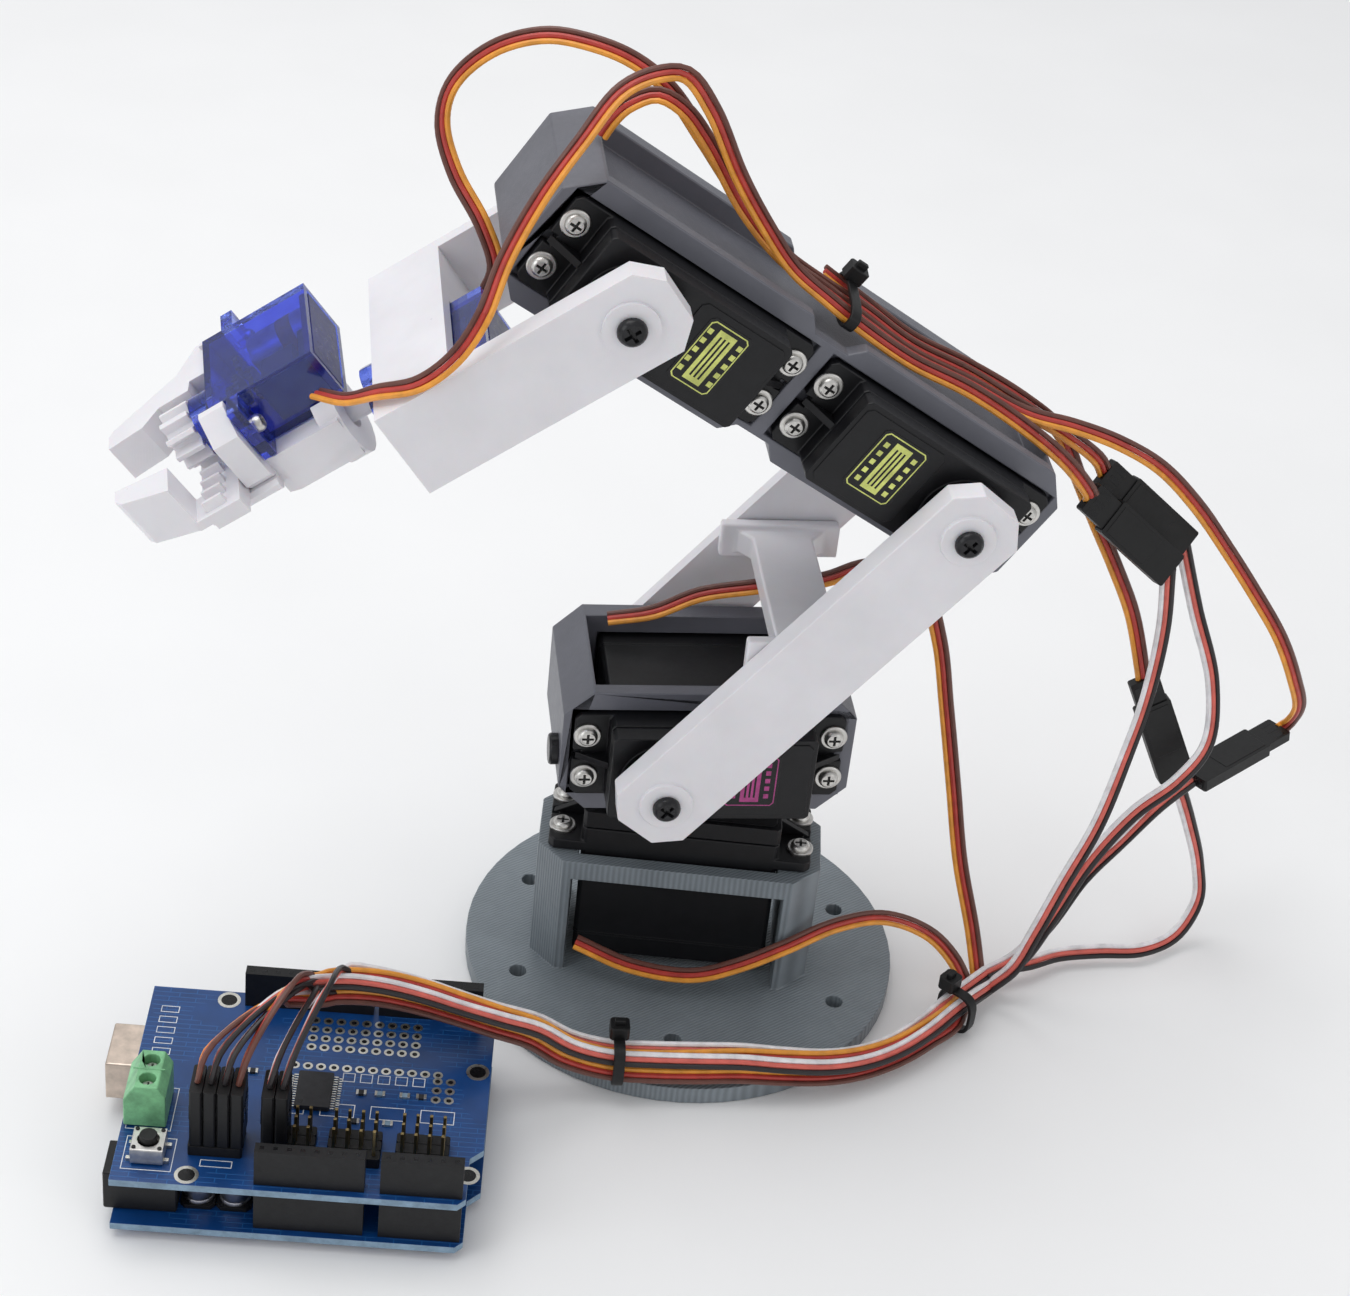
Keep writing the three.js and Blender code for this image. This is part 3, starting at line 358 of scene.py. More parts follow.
LOOK = {
    "grey": printed_plastic("grey_print", srgb(122, 130, 136), TILT_LINES, 0.7, 0.09, 0.42),
    "grey_arm": printed_plastic("grey_print_arm", srgb(98, 99, 107), ALONG_PIVOT, 0.4, 0.035, 0.4),
    "white": glossy_print("white_print", WHITE),
    "servo": moulded("servo_black", srgb(13, 13, 16), 0.4),
    "black": moulded("black_plastic", srgb(14, 14, 15), 0.44, 0.5),
    "header": moulded("header_black", srgb(17, 17, 19), 0.5, 0.4, 0.02),
    "chip": moulded("chip_black", srgb(40, 40, 43), 0.55, 0.25, 0.01),
    "blue": clear_blue("clear_blue"),
    "blue_solid": moulded("blue_inner", srgb(16, 26, 96), 0.28, 0.6),
    "steel": metal("screw_steel", srgb(214, 212, 208), 0.3),
    "tin": metal("tinned_pin", srgb(214, 212, 204), 0.26),
    "gold": metal("gilt_pin", srgb(150, 132, 92), 0.34),
    "shell": metal("socket_shell", srgb(212, 196, 182), 0.3),
    "can": metal("motor_can", srgb(190, 190, 196), 0.3),
    "blackened": moulded("blackened_steel", srgb(26, 26, 29), 0.28, 0.5),
    "brass": metal("brass_gear", srgb(200, 160, 84), 0.3),
    "copper": moulded("motor_coil", srgb(226, 130, 70), 0.4, 0.3, 0.04),
    "board": solder_mask("solder_mask", srgb(9, 62, 122), srgb(26, 88, 152)),
    "board_edge": moulded("board_edge", srgb(122, 146, 166), 0.6),
    "inner_board": moulded("servo_board", srgb(40, 92, 60), 0.45),
    "green": moulded("terminal_green", srgb(124, 184, 136), 0.38, 0.6),
    "silk": moulded("silk_print", srgb(226, 232, 240), 0.6),
    "yellow_label": moulded("label_yellow", srgb(206, 212, 118), 0.4, 0.6, 0.006),
    "pink_label": moulded("label_pink", srgb(176, 70, 134), 0.4, 0.6, 0.006),
    "brown_label": label_print("label_brown", srgb(96, 62, 36), srgb(190, 160, 96)),
    # Black for the labels' printed ground, and painted shade in screw recesses, holes, openings and
    # dimples.
    "black_print_and_painted_shade": moulded("black_print_and_painted_shade_plastic", srgb(15, 15, 17), 0.24, 0.8, 0.006),
    "tongue": moulded("socket_tongue", srgb(220, 220, 214), 0.5),
    "brown": wire("wire_brown", srgb(104, 62, 52)),
    "red": wire("wire_red", srgb(184, 62, 54)),
    "orange": wire("wire_orange", srgb(232, 156, 58)),
    "wire_black": wire("wire_black", srgb(38, 34, 36)),
    "wire_red": wire("wire_coral", srgb(216, 104, 92)),
    "wire_white": wire("wire_white", srgb(232, 230, 232)),
}


# ---- mesh helpers -----------------------------------------------------------------------


def at(axis, u, v, w):
    """A point given as (across, across, along) an axis."""
    if axis == "x":
        return (w, u, v)
    if axis == "y":
        return (u, w, v)
    return (u, v, w)


def add_prism(bm, axis, outline, lo, hi, look=0):
    ends = [[bm.verts.new(at(axis, u, v, w)) for u, v in outline] for w in (lo, hi)]
    faces = [bm.faces.new(ends[0][::-1]), bm.faces.new(ends[1])]
    count = len(outline)
    for i in range(count):
        j = (i + 1) % count
        faces.append(bm.faces.new((ends[0][i], ends[0][j], ends[1][j], ends[1][i])))
    for face in faces:
        face.material_index = look


def rectangle(u0, u1, v0, v1, cut=0.0):
    if not cut:
        return [(u0, v0), (u1, v0), (u1, v1), (u0, v1)]
    return [
        (u0 + cut, v0),
        (u1 - cut, v0),
        (u1, v0 + cut),
        (u1, v1 - cut),
        (u1 - cut, v1),
        (u0 + cut, v1),
        (u0, v1 - cut),
        (u0, v0 + cut),
    ]


def add_box(bm, x, y, z, look=0, cut=0.0):
    add_prism(bm, "z", rectangle(*x, *y, cut), *z, look=look)


def circle(radius, centre=(0, 0), count=24, start=0.0):
    turns = (start + 2 * math.pi * i / count for i in range(count))
    return [(centre[0] + radius * math.cos(a), centre[1] + radius * math.sin(a)) for a in turns]


def add_lathe(bm, axis, profile, centre=(0, 0), count=28, look=0):
    """profile is (radius, height along the axis) from one end of the axis to the other."""
    rings = []
    for radius, w in profile:
        if radius < 1e-6:
            rings.append([bm.verts.new(at(axis, *centre, w))])
        else:
            ring = [bm.verts.new(at(axis, u, v, w)) for u, v in circle(radius, centre, count)]
            rings.append(ring)
    for a, b in zip(rings, rings[1:]):
        for i in range(count):
            j = (i + 1) % count
            corners = [a[i % len(a)], a[j % len(a)], b[j % len(b)], b[i % len(b)]]
            face = bm.faces.new(list(dict.fromkeys(corners)))
            face.material_index = look


def make(name, bm, looks, matrix, body, bevel=0.0, segments=2, stands_for=()):
    """Turns a bmesh in millimetres into a piece that rides on a body."""
    bmesh.ops.recalc_face_normals(bm, faces=bm.faces)
    mesh = bpy.data.meshes.new(name)
    bm.to_mesh(mesh)
    bm.free()
    mesh.transform(matrix)
    return finish_piece(name, mesh, looks, body, bevel, segments, stands_for)


def finish_piece(name, mesh, looks, body, bevel=0.0, segments=2, stands_for=()):
    piece = bpy.data.objects.new(name, mesh)
    bpy.context.scene.collection.objects.link(piece)
    for look in [looks] if isinstance(looks, str) else looks:
        mesh.materials.append(LOOK[look])
    mesh.polygons.foreach_set("use_smooth", [True] * len(mesh.polygons))
    mesh.set_sharp_from_angle(angle=math.radians(35))
    if bevel:
        soften(piece, bevel, segments)
    if body:
        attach(piece, body)
    if stands_for:
        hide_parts(*stands_for)
    return piece


def soften(piece, width, segments):
    modifier = piece.modifiers.new("edges", "BEVEL")
    modifier.width = width * MM
    modifier.segments = segments
    modifier.limit_method = "ANGLE"
    modifier.angle_limit = math.radians(30)
    modifier.use_clamp_overlap = True
    modifier.harden_normals = True


def dress(node, look, bevel=0.0, segments=2):
    """Gives a CAD node that stays its look, and rounds its edges."""
    piece = NODES[node]
    mesh = piece.data
    if "custom_normal" in mesh.attributes:
        mesh.attributes.remove(mesh.attributes["custom_normal"])
    if "sharp_edge" in mesh.attributes:
        mesh.attributes.remove(mesh.attributes["sharp_edge"])
    mesh.materials.clear()
    mesh.materials.append(LOOK[look])
    mesh.polygons.foreach_set("use_smooth", [True] * len(mesh.polygons))
    weld = piece.modifiers.new("weld", "WELD")
    weld.merge_threshold = 0.002 * MM
    flat = piece.modifiers.new("flat", "DECIMATE")
    flat.decimate_type = "DISSOLVE"
    flat.angle_limit = math.radians(1.5)
    if bevel:
        soften(piece, bevel, segments)


# ---- camera, light and floor --------------------------------------------------------------


def add_camera():
    right, up = Vector(CAMERA["right"]), Vector(CAMERA["up"])
    data = bpy.data.cameras.new("camera")
    data.lens = CAMERA["lens"]
    data.sensor_width = 36
    data.sensor_fit = "HORIZONTAL"
    data.shift_x, data.shift_y = CAMERA["shift"]
    data.clip_start = 0.01
    data.clip_end = 20
    camera = bpy.data.objects.new("camera", data)
    turn = Matrix((right, up, right.cross(up))).transposed().to_4x4()
    camera.matrix_world = Matrix.Translation(CAMERA["place"]) @ turn
    bpy.context.scene.collection.objects.link(camera)
    bpy.context.scene.camera = camera


def add_lamp(name, place, aim, size, watts, tint=(1, 1, 1)):
    data = bpy.data.lights.new(name, "AREA")
    data.shape = "RECTANGLE"
    data.size, data.size_y = size
    data.energy = watts
    data.color = tint
    lamp = bpy.data.objects.new(name, data)
    way = Vector(aim) - Vector(place)
    lamp.matrix_world = Matrix.Translation(place) @ way.to_track_quat("-Z", "Y").to_matrix().to_4x4()
    bpy.context.scene.collection.objects.link(lamp)


def add_studio():
    world = bpy.data.worlds.new("studio")
    world.use_nodes = True
    background = world.node_tree.nodes["Background"]
    background.inputs["Color"].default_value = (0.97, 0.98, 1, 1)
    background.inputs["Strength"].default_value = 0.6
    bpy.context.scene.world = world
    bpy.context.scene.view_settings.view_transform = "Standard"
    add_lamp("overhead", (-0.25, 0.15, 1.0), (0, 0, 0.05), (0.9, 0.7), 5.0)
    add_lamp("window", (-0.9, -0.6, 0.6), (0, 0, 0.1), (0.5, 0.7), 2.0, (0.95, 0.98, 1))
    add_lamp("fill", (0.9, -0.7, 0.5), (0, 0, 0.08), (0.6, 0.6), 0.9, (1, 0.98, 0.95))
    bm = bmesh.new()
    bmesh.ops.create_circle(bm, cap_ends=True, segments=96, radius=3.5)
    mesh = bpy.data.meshes.new("floor")
    bm.to_mesh(mesh)
    bm.free()
    floor = bpy.data.objects.new("floor", mesh)
    floor.location.z = -0.0001
    n = Nodes("floor_paper").set(Roughness=0.9)
    n.colour(n.ramp(n.noise(60, 2), [(0.3, (0.9, 0.9, 0.9, 1)), (0.7, (0.92, 0.92, 0.92, 1))]))
    mesh.materials.append(n.material)
    bpy.context.scene.collection.objects.link(floor)


# ---- leads --------------------------------------------------------------------------------
# Centre lines in metres in the row frame: the CAD's own points, and extension_lead_4, which the
# CAD's extension_lead_3 stands for too.

ROUTES = {
    "lead_gripper": [
        (-0.078, -0.023, 0.144), (-0.072, -0.029, 0.147), (-0.066, -0.034, 0.152),
        (-0.058, -0.038, 0.157), (-0.052, -0.038, 0.163), (-0.048, -0.036, 0.17),
        (-0.045, -0.031, 0.179), (-0.04, -0.026, 0.189), (-0.034, -0.019, 0.197),
        (-0.028, -0.012, 0.204), (-0.022, -0.008, 0.206), (-0.017, -0.005, 0.205),
        (-0.012, -0.005, 0.199), (-0.006, -0.005, 0.187), (0, -0.004, 0.177), (0.006, -0.004, 0.169),
        (0.013, -0.003, 0.163), (0.02, -0.003, 0.158), (0.03, -0.001, 0.151), (0.042, 0.001, 0.145),
        (0.054, 0.003, 0.137), (0.064, 0.006, 0.128), (0.07, 0.009, 0.12),
    ],
    "lead_roll": [
        (-0.05, -0.0024, 0.1565), (-0.0485, -0.002, 0.162), (-0.0515, 0, 0.1695),
        (-0.0575, 0.005, 0.177), (-0.0605, 0.008, 0.185), (-0.059, 0.008, 0.193),
        (-0.052, 0.007, 0.201), (-0.043, 0.006, 0.205), (-0.035, 0.005, 0.205), (-0.027, 0.004, 0.203),
        (-0.02, 0.002, 0.199), (-0.013, 0.002, 0.19), (-0.005, 0.002, 0.179), (0.003, 0.003, 0.169),
        (0.012, 0.003, 0.163), (0.02, 0.004, 0.158), (0.03, 0.005, 0.151), (0.042, 0.007, 0.145),
        (0.054, 0.009, 0.1375), (0.063, 0.012, 0.1315), (0.0708, 0.0152, 0.125),
    ],
    "lead_wrist": [
        (-0.0315, -0.0005, 0.19), (-0.03, -0.001, 0.193), (-0.027, -0.002, 0.197),
        (-0.022, -0.001, 0.199), (-0.017, -0.0015, 0.197), (-0.012, -0.0015, 0.191),
        (-0.004, -0.001, 0.178), (0.004, -0.0005, 0.169), (0.013, 0, 0.163), (0.02, 0.0005, 0.158),
        (0.03, 0.002, 0.151), (0.042, 0.004, 0.145), (0.054, 0.006, 0.1385), (0.064, 0.009, 0.135),
        (0.074, 0.013, 0.13), (0.084, 0.017, 0.123), (0.093, 0.019, 0.114), (0.101, 0.0205, 0.104),
        (0.109, 0.0215, 0.0935), (0.117, 0.023, 0.082), (0.123, 0.026, 0.07), (0.127, 0.031, 0.059),
        (0.1266, 0.0356, 0.051),
    ],
    "lead_elbow": [
        (0.012, 0.0065, 0.164), (0.02, 0.0075, 0.158), (0.03, 0.008, 0.151), (0.042, 0.01, 0.145),
        (0.054, 0.012, 0.1378), (0.062, 0.0142, 0.1308), (0.068, 0.016, 0.1195),
        (0.0735, 0.0167, 0.109), (0.079, 0.017, 0.099), (0.0845, 0.017, 0.088), (0.0886, 0.017, 0.0759),
    ],
    "lead_shoulder": [
        (-0.022, 0.008, 0.08), (-0.013, 0.009, 0.082), (-0.004, 0.011, 0.086), (0.006, 0.0125, 0.088),
        (0.014, 0.013, 0.0898), (0.021, 0.013, 0.0915), (0.028, 0.0135, 0.095), (0.035, 0.0138, 0.096),
        (0.041, 0.014, 0.091), (0.046, 0.014, 0.079), (0.05, 0.0135, 0.062), (0.054, 0.0115, 0.044),
        (0.058, 0.0085, 0.026), (0.0625, 0.003, 0.012), (0.0645, -0.004, 0.005),
    ],
    "lead_base": [
        (-0.022, -0.0145, 0.013), (-0.01, -0.0175, 0.0105), (0.003, -0.018, 0.01),
        (0.012, -0.0165, 0.0125), (0.0215, -0.015, 0.0175), (0.032, -0.009, 0.0198),
        (0.0425, -0.004, 0.019), (0.0525, -0.003, 0.015), (0.0585, -0.004, 0.0095),
        (0.0615, -0.0065, 0.0055),
    ],
    "extension_lead_1": [
        (0.089, 0.017, 0.099), (0.091, 0.015, 0.086), (0.09, 0.011, 0.072), (0.087, 0.005, 0.06),
        (0.083, -0.002, 0.048), (0.078, -0.005, 0.034), (0.074, -0.006, 0.02), (0.071, -0.006, 0.01),
        (0.067, -0.006, 0.0045),
    ],
    "extension_lead_2": [
        (0.092, 0.022, 0.1), (0.098, 0.021, 0.088), (0.104, 0.017, 0.073), (0.105, 0.013, 0.06),
        (0.1, 0.0095, 0.0525), (0.092, 0.007, 0.045), (0.084, 0.003, 0.034), (0.078, 0, 0.02),
        (0.073, -0.0015, 0.009), (0.068, -0.002, 0.0045),
    ],
    "extension_lead_3": [
        (0.1025, 0.0175, 0.0452), (0.107, 0.02, 0.034), (0.112, 0.023, 0.02), (0.114, 0.024, 0.009),
        (0.11, 0.019, 0.0035), (0.102, 0.013, 0.003), (0.092, 0.011, 0.003), (0.083, 0.0085, 0.003),
        (0.076, 0.004, 0.0035), (0.069, 0.001, 0.004),
    ],
    "extension_lead_4": [
        (0.1046, 0.0184, 0.0468), (0.098, 0.013, 0.043), (0.091, 0.0085, 0.036), (0.084, 0.005, 0.028),
        (0.078, 0.0015, 0.017), (0.072, -0.001, 0.009), (0.066, -0.004, 0.0065),
    ],
    "cable_bundle": [
        (0.062, -0.0115, 0.0053), (0.053, -0.023, 0.0053), (0.043, -0.032, 0.0053),
        (0.031, -0.039, 0.0075), (0.014, -0.042, 0.0092), (-0.004, -0.0445, 0.0092),
        (-0.018, -0.046, 0.0106), (-0.028, -0.048, 0.0175), (-0.038, -0.051, 0.023),
        (-0.052, -0.054, 0.03), (-0.066, -0.059, 0.0355), (-0.075, -0.067, 0.037),
        (-0.081, -0.075, 0.036),
    ],
}


def route_points(name):
    """A route's points in millimetres."""
    return [Vector([c / MM for c in point]) for point in ROUTES[name]]


def turned_matrix(place, turns):
    """Place in millimetres; turns about X, Y and Z in degrees, each in the frame so far."""
    matrix = Matrix.Translation(Vector(place) * MM)
    for angle, axis in zip(turns, "XYZ"):
        matrix = matrix @ Matrix.Rotation(math.radians(angle), 4, axis)
    return matrix @ WORLD


CONNECTORS = [
    ((79.5, 12.5, 110), (73, 24, -36)),
    ((82.6, 18.3, 112.3), (73, 24, -36)),
    ((95.2, 17, 60.5), (84, 14, -64)),
    ((115, 26, 49), (0, -8, 220)),
]


def connector_end(number, way):
    """Middle of a connector's end in the row frame's millimetres: way -1 where the servo lead
    goes in, 1 where the extension lead comes out."""
    place, turns = CONNECTORS[number - 1]
    return turned_matrix(place, turns) @ Vector((way * 13.0, 0, 0)) / MM


SERVO_WIRES = ("brown", "red", "orange")
EXTENSION_WIRES = ("wire_black", "wire_red", "wire_white")


def spline(points, step=1.6):
    """Evenly spaced points on a centripetal Catmull-Rom curve through the given ones."""
    points = [Vector(p) for p in points]
    ends = [2 * points[0] - points[1], *points, 2 * points[-1] - points[-2]]
    fine = []
    for p0, p1, p2, p3 in zip(ends, ends[1:], ends[2:], ends[3:]):
        knots = [0.0]
        for a, b in ((p0, p1), (p1, p2), (p2, p3)):
            knots.append(knots[-1] + max((b - a).length, 1e-6) ** 0.5)
        t0, t1, t2, t3 = knots
        for i in range(16):
            t = t1 + (t2 - t1) * i / 16
            a1 = (t1 - t) / (t1 - t0) * p0 + (t - t0) / (t1 - t0) * p1
            a2 = (t2 - t) / (t2 - t1) * p1 + (t - t1) / (t2 - t1) * p2
            a3 = (t3 - t) / (t3 - t2) * p2 + (t - t2) / (t3 - t2) * p3
            b1 = (t2 - t) / (t2 - t0) * a1 + (t - t0) / (t2 - t0) * a2
            b2 = (t3 - t) / (t3 - t1) * a2 + (t - t1) / (t3 - t1) * a3
            fine.append((t2 - t) / (t2 - t1) * b1 + (t - t1) / (t2 - t1) * b2)
    fine.append(points[-1])
    return resample(fine, step)


def resample(points, step):
    lengths = [0.0]
    for a, b in zip(points, points[1:]):
        lengths.append(lengths[-1] + (b - a).length)
    count = max(2, round(lengths[-1] / step))
    made, k = [], 0
    for i in range(count + 1):
        want = lengths[-1] * i / count
        while k < len(points) - 2 and lengths[k + 1] < want:
            k += 1
        part = (want - lengths[k]) / max(lengths[k + 1] - lengths[k], 1e-9)
        made.append(points[k].lerp(points[k + 1], min(1, part)))
    return made


def directions(points):
    ways = []
    for i in range(len(points)):
        a, b = points[max(0, i - 1)], points[min(len(points) - 1, i + 1)]
        ways.append((b - a).normalized())
    return ways


def side_ways(points, faces):
    """The way across a flat lead at each point, for a flat side that looks along faces, which
    are spread evenly along the lead."""
    found = []
    for i, way in enumerate(directions(points)):
        t = i / (len(points) - 1) * (len(faces) - 1)
        k = min(int(t), len(faces) - 2)
        face = Vector(faces[k]).lerp(Vector(faces[k + 1]), t - k)
        side = way.cross(face)
        if side.length < 0.15 and found:
            side = found[-1] - found[-1].dot(way) * way
        found.append(side.normalized())
    return found


def add_strand(bm, points, radius, look, sides=8):
    ways = directions(points)
    normal = ways[0].orthogonal().normalized()
    rings = []
    for point, way in zip(points, ways):
        normal = (normal - normal.dot(way) * way).normalized()
        other = way.cross(normal)
        ring = []
        for i in range(sides):
            angle = 2 * math.pi * i / sides
            spoke = math.cos(angle) * normal + math.sin(angle) * other
            ring.append(bm.verts.new(point + radius * spoke))
        rings.append(ring)
    for a, b in zip(rings, rings[1:]):
        for i in range(sides):
            j = (i + 1) % sides
            bm.faces.new((a[i], a[j], b[j], b[i])).material_index = look
    bm.faces.new(rings[0][::-1]).material_index = look
    bm.faces.new(rings[-1]).material_index = look


def lead_mesh(name, points, sides, wires, body=None):
    """A flat lead: three wires side by side along the centre line."""
    bm = bmesh.new()
    for k in range(3):
        shift = (k - 1) * STRAND_STEP
        add_strand(bm, [p + shift * s for p, s in zip(points, sides)], STRAND, k)
    return make(name, bm, wires, WORLD, body)


def split_lead(name, faces, wires, parts, stands_for, connector=None, leaves=None):
    """A lead that crosses joints. parts are (share of the length where it ends, body, body): a
    part with two bodies rides on neither and stays where it is drawn, from its own start to its own end.
    connector is the number of the one it goes into, and leaves that of the one it comes out of."""
    route = route_points(name)
    if connector:
        socket = connector_end(connector, -1)
        route = [*route[:-1], route[-1].lerp(socket, 0.2), socket]
    if leaves:
        route = [connector_end(leaves, 1), *route[1:]]
    points = spline(route)
    sides = side_ways(points, faces)
    begin = 0
    for number, (share, first, second) in enumerate(parts, 1):
        end = round(share * (len(points) - 1))
        piece_name = f"{name}_part_{number}"
        part_points, part_sides = points[begin : end + 1], sides[begin : end + 1]
        single = first == second
        piece = lead_mesh(piece_name, part_points, part_sides, wires, first if single else None)
        if not single:
            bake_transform(piece)
        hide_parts(stands_for)
        begin = end


def plug_points(index):
    """The top of each servo plug on the shield, in the row frame's millimetres."""
    return BOARD @ Vector((PLUG_PLACES[index], PLUG_MIDDLE, PLUG_TOP)) / MM


BUNDLE_SOURCES = (
    "lead_base",
    "extension_lead_1",
    "extension_lead_2",
    "lead_shoulder",
    "extension_lead_3",
    "extension_lead_4",
)


def bundle_routes():
    """Six leads side by side: each goes on from a lead that ends at the junction, and fans out
    to its plug at the far end."""
    centre = spline(route_points("cable_bundle"), 3.0)
    ways = directions(centre)
    rows = [(-1, -1), (1, -1), (-1, 0), (1, 0), (-1, 1), (1, 1)]
    routes = []
    for index, (u, v) in enumerate(rows):
        points = []
        for i, (point, way) in enumerate(zip(centre, ways)):
            across = way.cross(Vector((0, 0, 1))).normalized()
            up = across.cross(way)
            drift = 0.35 * math.sin(i * 0.21 + 1.7 * index)
            points.append(point + up * (u * 1.75 + 0.5 * drift) + across * (v * 1.55 + drift))
        start = route_points(BUNDLE_SOURCES[index])[-1]
        top = plug_points(index)
        keep = len(points) - 7 - (index % 3)
        rise = points[keep].lerp(top, 0.55) + Vector((2, 3, 7.5 + 0.8 * (index % 4)))
        fan = [points[keep], rise, top + Vector((1.5, 1.5, 6)), top]
        routes.append(spline([start, *points[2:keep:3], *fan], 2.0))
    return routes


def add_bundle():
    front, top = (0, -0.83, 0.56), (0.1, -0.35, 0.93)
    plug_front = tuple((BOARD.to_3x3() @ Vector((-1, 0, 0))).normalized())
    for index, points in enumerate(bundle_routes()):
        wires = SERVO_WIRES if BUNDLE_SOURCES[index].startswith("lead") else EXTENSION_WIRES
        faces = [front, top, front, front, top, (-0.5, -0.6, 0.5), plug_front]
        name = f"bundle_lead_{index + 1}"
        piece = lead_mesh(name, points, side_ways(points, faces), wires, "base")
        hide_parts("cable_bundle")


def add_leads():
    """Every lead. Shares of length mark where each crosses from one body's care to the next."""
    front = (0, -0.83, 0.56)
    left_front = (-0.5, -0.75, 0.4)
    top = (0.1, -0.35, 0.93)
    split_lead(
        "lead_gripper",
        [top, front, left_front, front, (0, -0.6, 0.8), front, front],
        SERVO_WIRES,
        [
            (0.2, "gripper", "wrist"),
            (0.52, "wrist", "forearm"),
            (0.78, "forearm", "forearm"),
            (1, "forearm", "upper_arm"),
        ],
        "lead_gripper",
        connector=1,
    )
    split_lead(
        "lead_roll",
        [front, left_front, front, (0, -0.5, 0.86), front, front],
        SERVO_WIRES,
        [(0.55, "wrist", "forearm"), (0.8, "forearm", "forearm"), (1, "forearm", "upper_arm")],
        "lead_roll",
        connector=2,
    )
    split_lead(
        "lead_wrist",
        [front, (0, -0.5, 0.86), top, front, front, (0.2, -0.9, 0.3)],
        SERVO_WIRES,
        [(0.4, "forearm", "forearm"), (0.7, "forearm", "upper_arm"), (1, "upper_arm", "upper_arm")],
        "lead_wrist",
        connector=4,
    )
    split_lead(
        "lead_elbow",
        [top, front, front, front],
        SERVO_WIRES,
        [(0.42, "forearm", "forearm"), (1, "forearm", "upper_arm")],
        "lead_elbow",
        connector=3,
    )
    split_lead(
        "lead_shoulder",
        [top, front, front, (-0.3, -0.9, 0.3), front, front],
        SERVO_WIRES,
        [(0.5, "turret", "turret"), (1, "turret", "base")],
        "lead_shoulder",
    )
    split_lead("lead_base", [front, front, front], SERVO_WIRES, [(1, "base", "base")], "lead_base")
    for number in (1, 2, 3, 4):
        node = f"extension_lead_{min(number, 3)}"
        split_lead(
            f"extension_lead_{number}",
            [front, (0.4, -0.8, 0.4), front, top],
            EXTENSION_WIRES,
            [(0.5, "upper_arm", "turret"), (1, "turret", "base")],
            node,
            leaves=number,
        )


# ---- connectors, plugs and ties -------------------------------------------------------------


def add_connector(number, place, turns):
    """A three-way plug pushed into its socket: two housings, a raised panel and the windows over
    the contacts. The narrow plug is at -X, where the servo's lead goes in."""
    bm = bmesh.new()
    add_box(bm, (-13.4, -6.2), (-3.2, 3.2), (-1.1, 1.1), cut=0.3)
    add_box(bm, (-6.6, 13.4), (-3.85, 3.85), (-1.4, 1.4), cut=0.35)
    add_box(bm, (-5.6, 6.4), (-3.1, 3.1), (1.35, 1.5))
    for k in (-1, 0, 1):
        add_box(bm, (-12.2, -9.4), (k * PITCH * 0.85 - 0.6, k * PITCH * 0.85 + 0.6), (1.0, 1.14), 1)
    add_box(bm, (12.6, 13.55), (-3, 3), (-0.8, 0.8), 1)
    matrix, looks, node = turned_matrix(place, turns), ["black", "black_print_and_painted_shade"], [f"connector_{number}"]
    name = f"connector_pair_{number}"
    make(name, bm, looks, matrix, "upper_arm", 0.18, stands_for=node)


def add_plug(index, x):
    """One three-way servo plug standing on its pins."""
    bm = bmesh.new()
    low = SHIELD_TOP + 2.6
    add_box(bm, (x - 1.2, x + 1.2), (7.6, 15.2), (low, low + 13.6), cut=0.35)
    for k in (-1, 0, 1):
        y = PLUG_MIDDLE + k * PITCH
        add_box(bm, (x - 1.32, x - 1.15), (y - 0.7, y + 0.7), (low + 6.2, low + 9.4), 1)
        add_box(bm, (x + 1.15, x + 1.32), (y - 0.7, y + 0.7), (low + 6.2, low + 9.4), 1)
    add_box(bm, (x - 0.5, x + 0.5), (15.1, 15.6), (low + 2, low + 12), 0)
    node = "servo_plugs_1" if index < 4 else "servo_plugs_2"
    return make(
        f"servo_plug_{index + 1}", bm, ["black", "black_print_and_painted_shade"], BOARD, "base", 0.16,
        stands_for=[node],
    )


def add_tie(name, matrix, half_y, half_z, body, node, tail_way=1):
    """A pulled cable tie: a band round the leads, its head and the cut tail."""
    bm = bmesh.new()
    count = 28
    rings = []
    for grow in (0, 0.75):
        for x in (-1.15, 1.15):
            ring = []
            for i in range(count):
                angle = 2 * math.pi * i / count
                c, s = math.cos(angle), math.sin(angle)
                y = (half_y + grow) * math.copysign(abs(c) ** TIE_SQUARENESS, c)
                z = (half_z + grow) * math.copysign(abs(s) ** TIE_SQUARENESS, s)
                ring.append(bm.verts.new((x, y, z)))
            rings.append(ring)
    inner_a, inner_b, outer_a, outer_b = rings
    for a, b in ((inner_a, inner_b), (outer_b, outer_a), (inner_b, outer_b), (outer_a, inner_a)):
        for i in range(count):
            j = (i + 1) % count
            bm.faces.new((a[i], a[j], b[j], b[i]))
    y0 = half_y * 0.72 * tail_way
    z0 = half_z + 0.3
    add_box(bm, (-2, 2), tuple(sorted((y0 - 1.9, y0 + 1.9))), (z0, z0 + 3), cut=0.5)
    add_box(bm, (-1.1, 1.1), tuple(sorted((y0 - 0.6, y0 + 0.6))), (z0 + 2.5, z0 + 4.1))
    tail = sorted((y0 + 1.6 * tail_way, y0 + 2.3 * tail_way))
    add_box(bm, (-0.8, 0.8), tail, (z0 + 0.5, z0 + 2.4))
    make(name, bm, "black", matrix, body, 0.2, stands_for=[node])


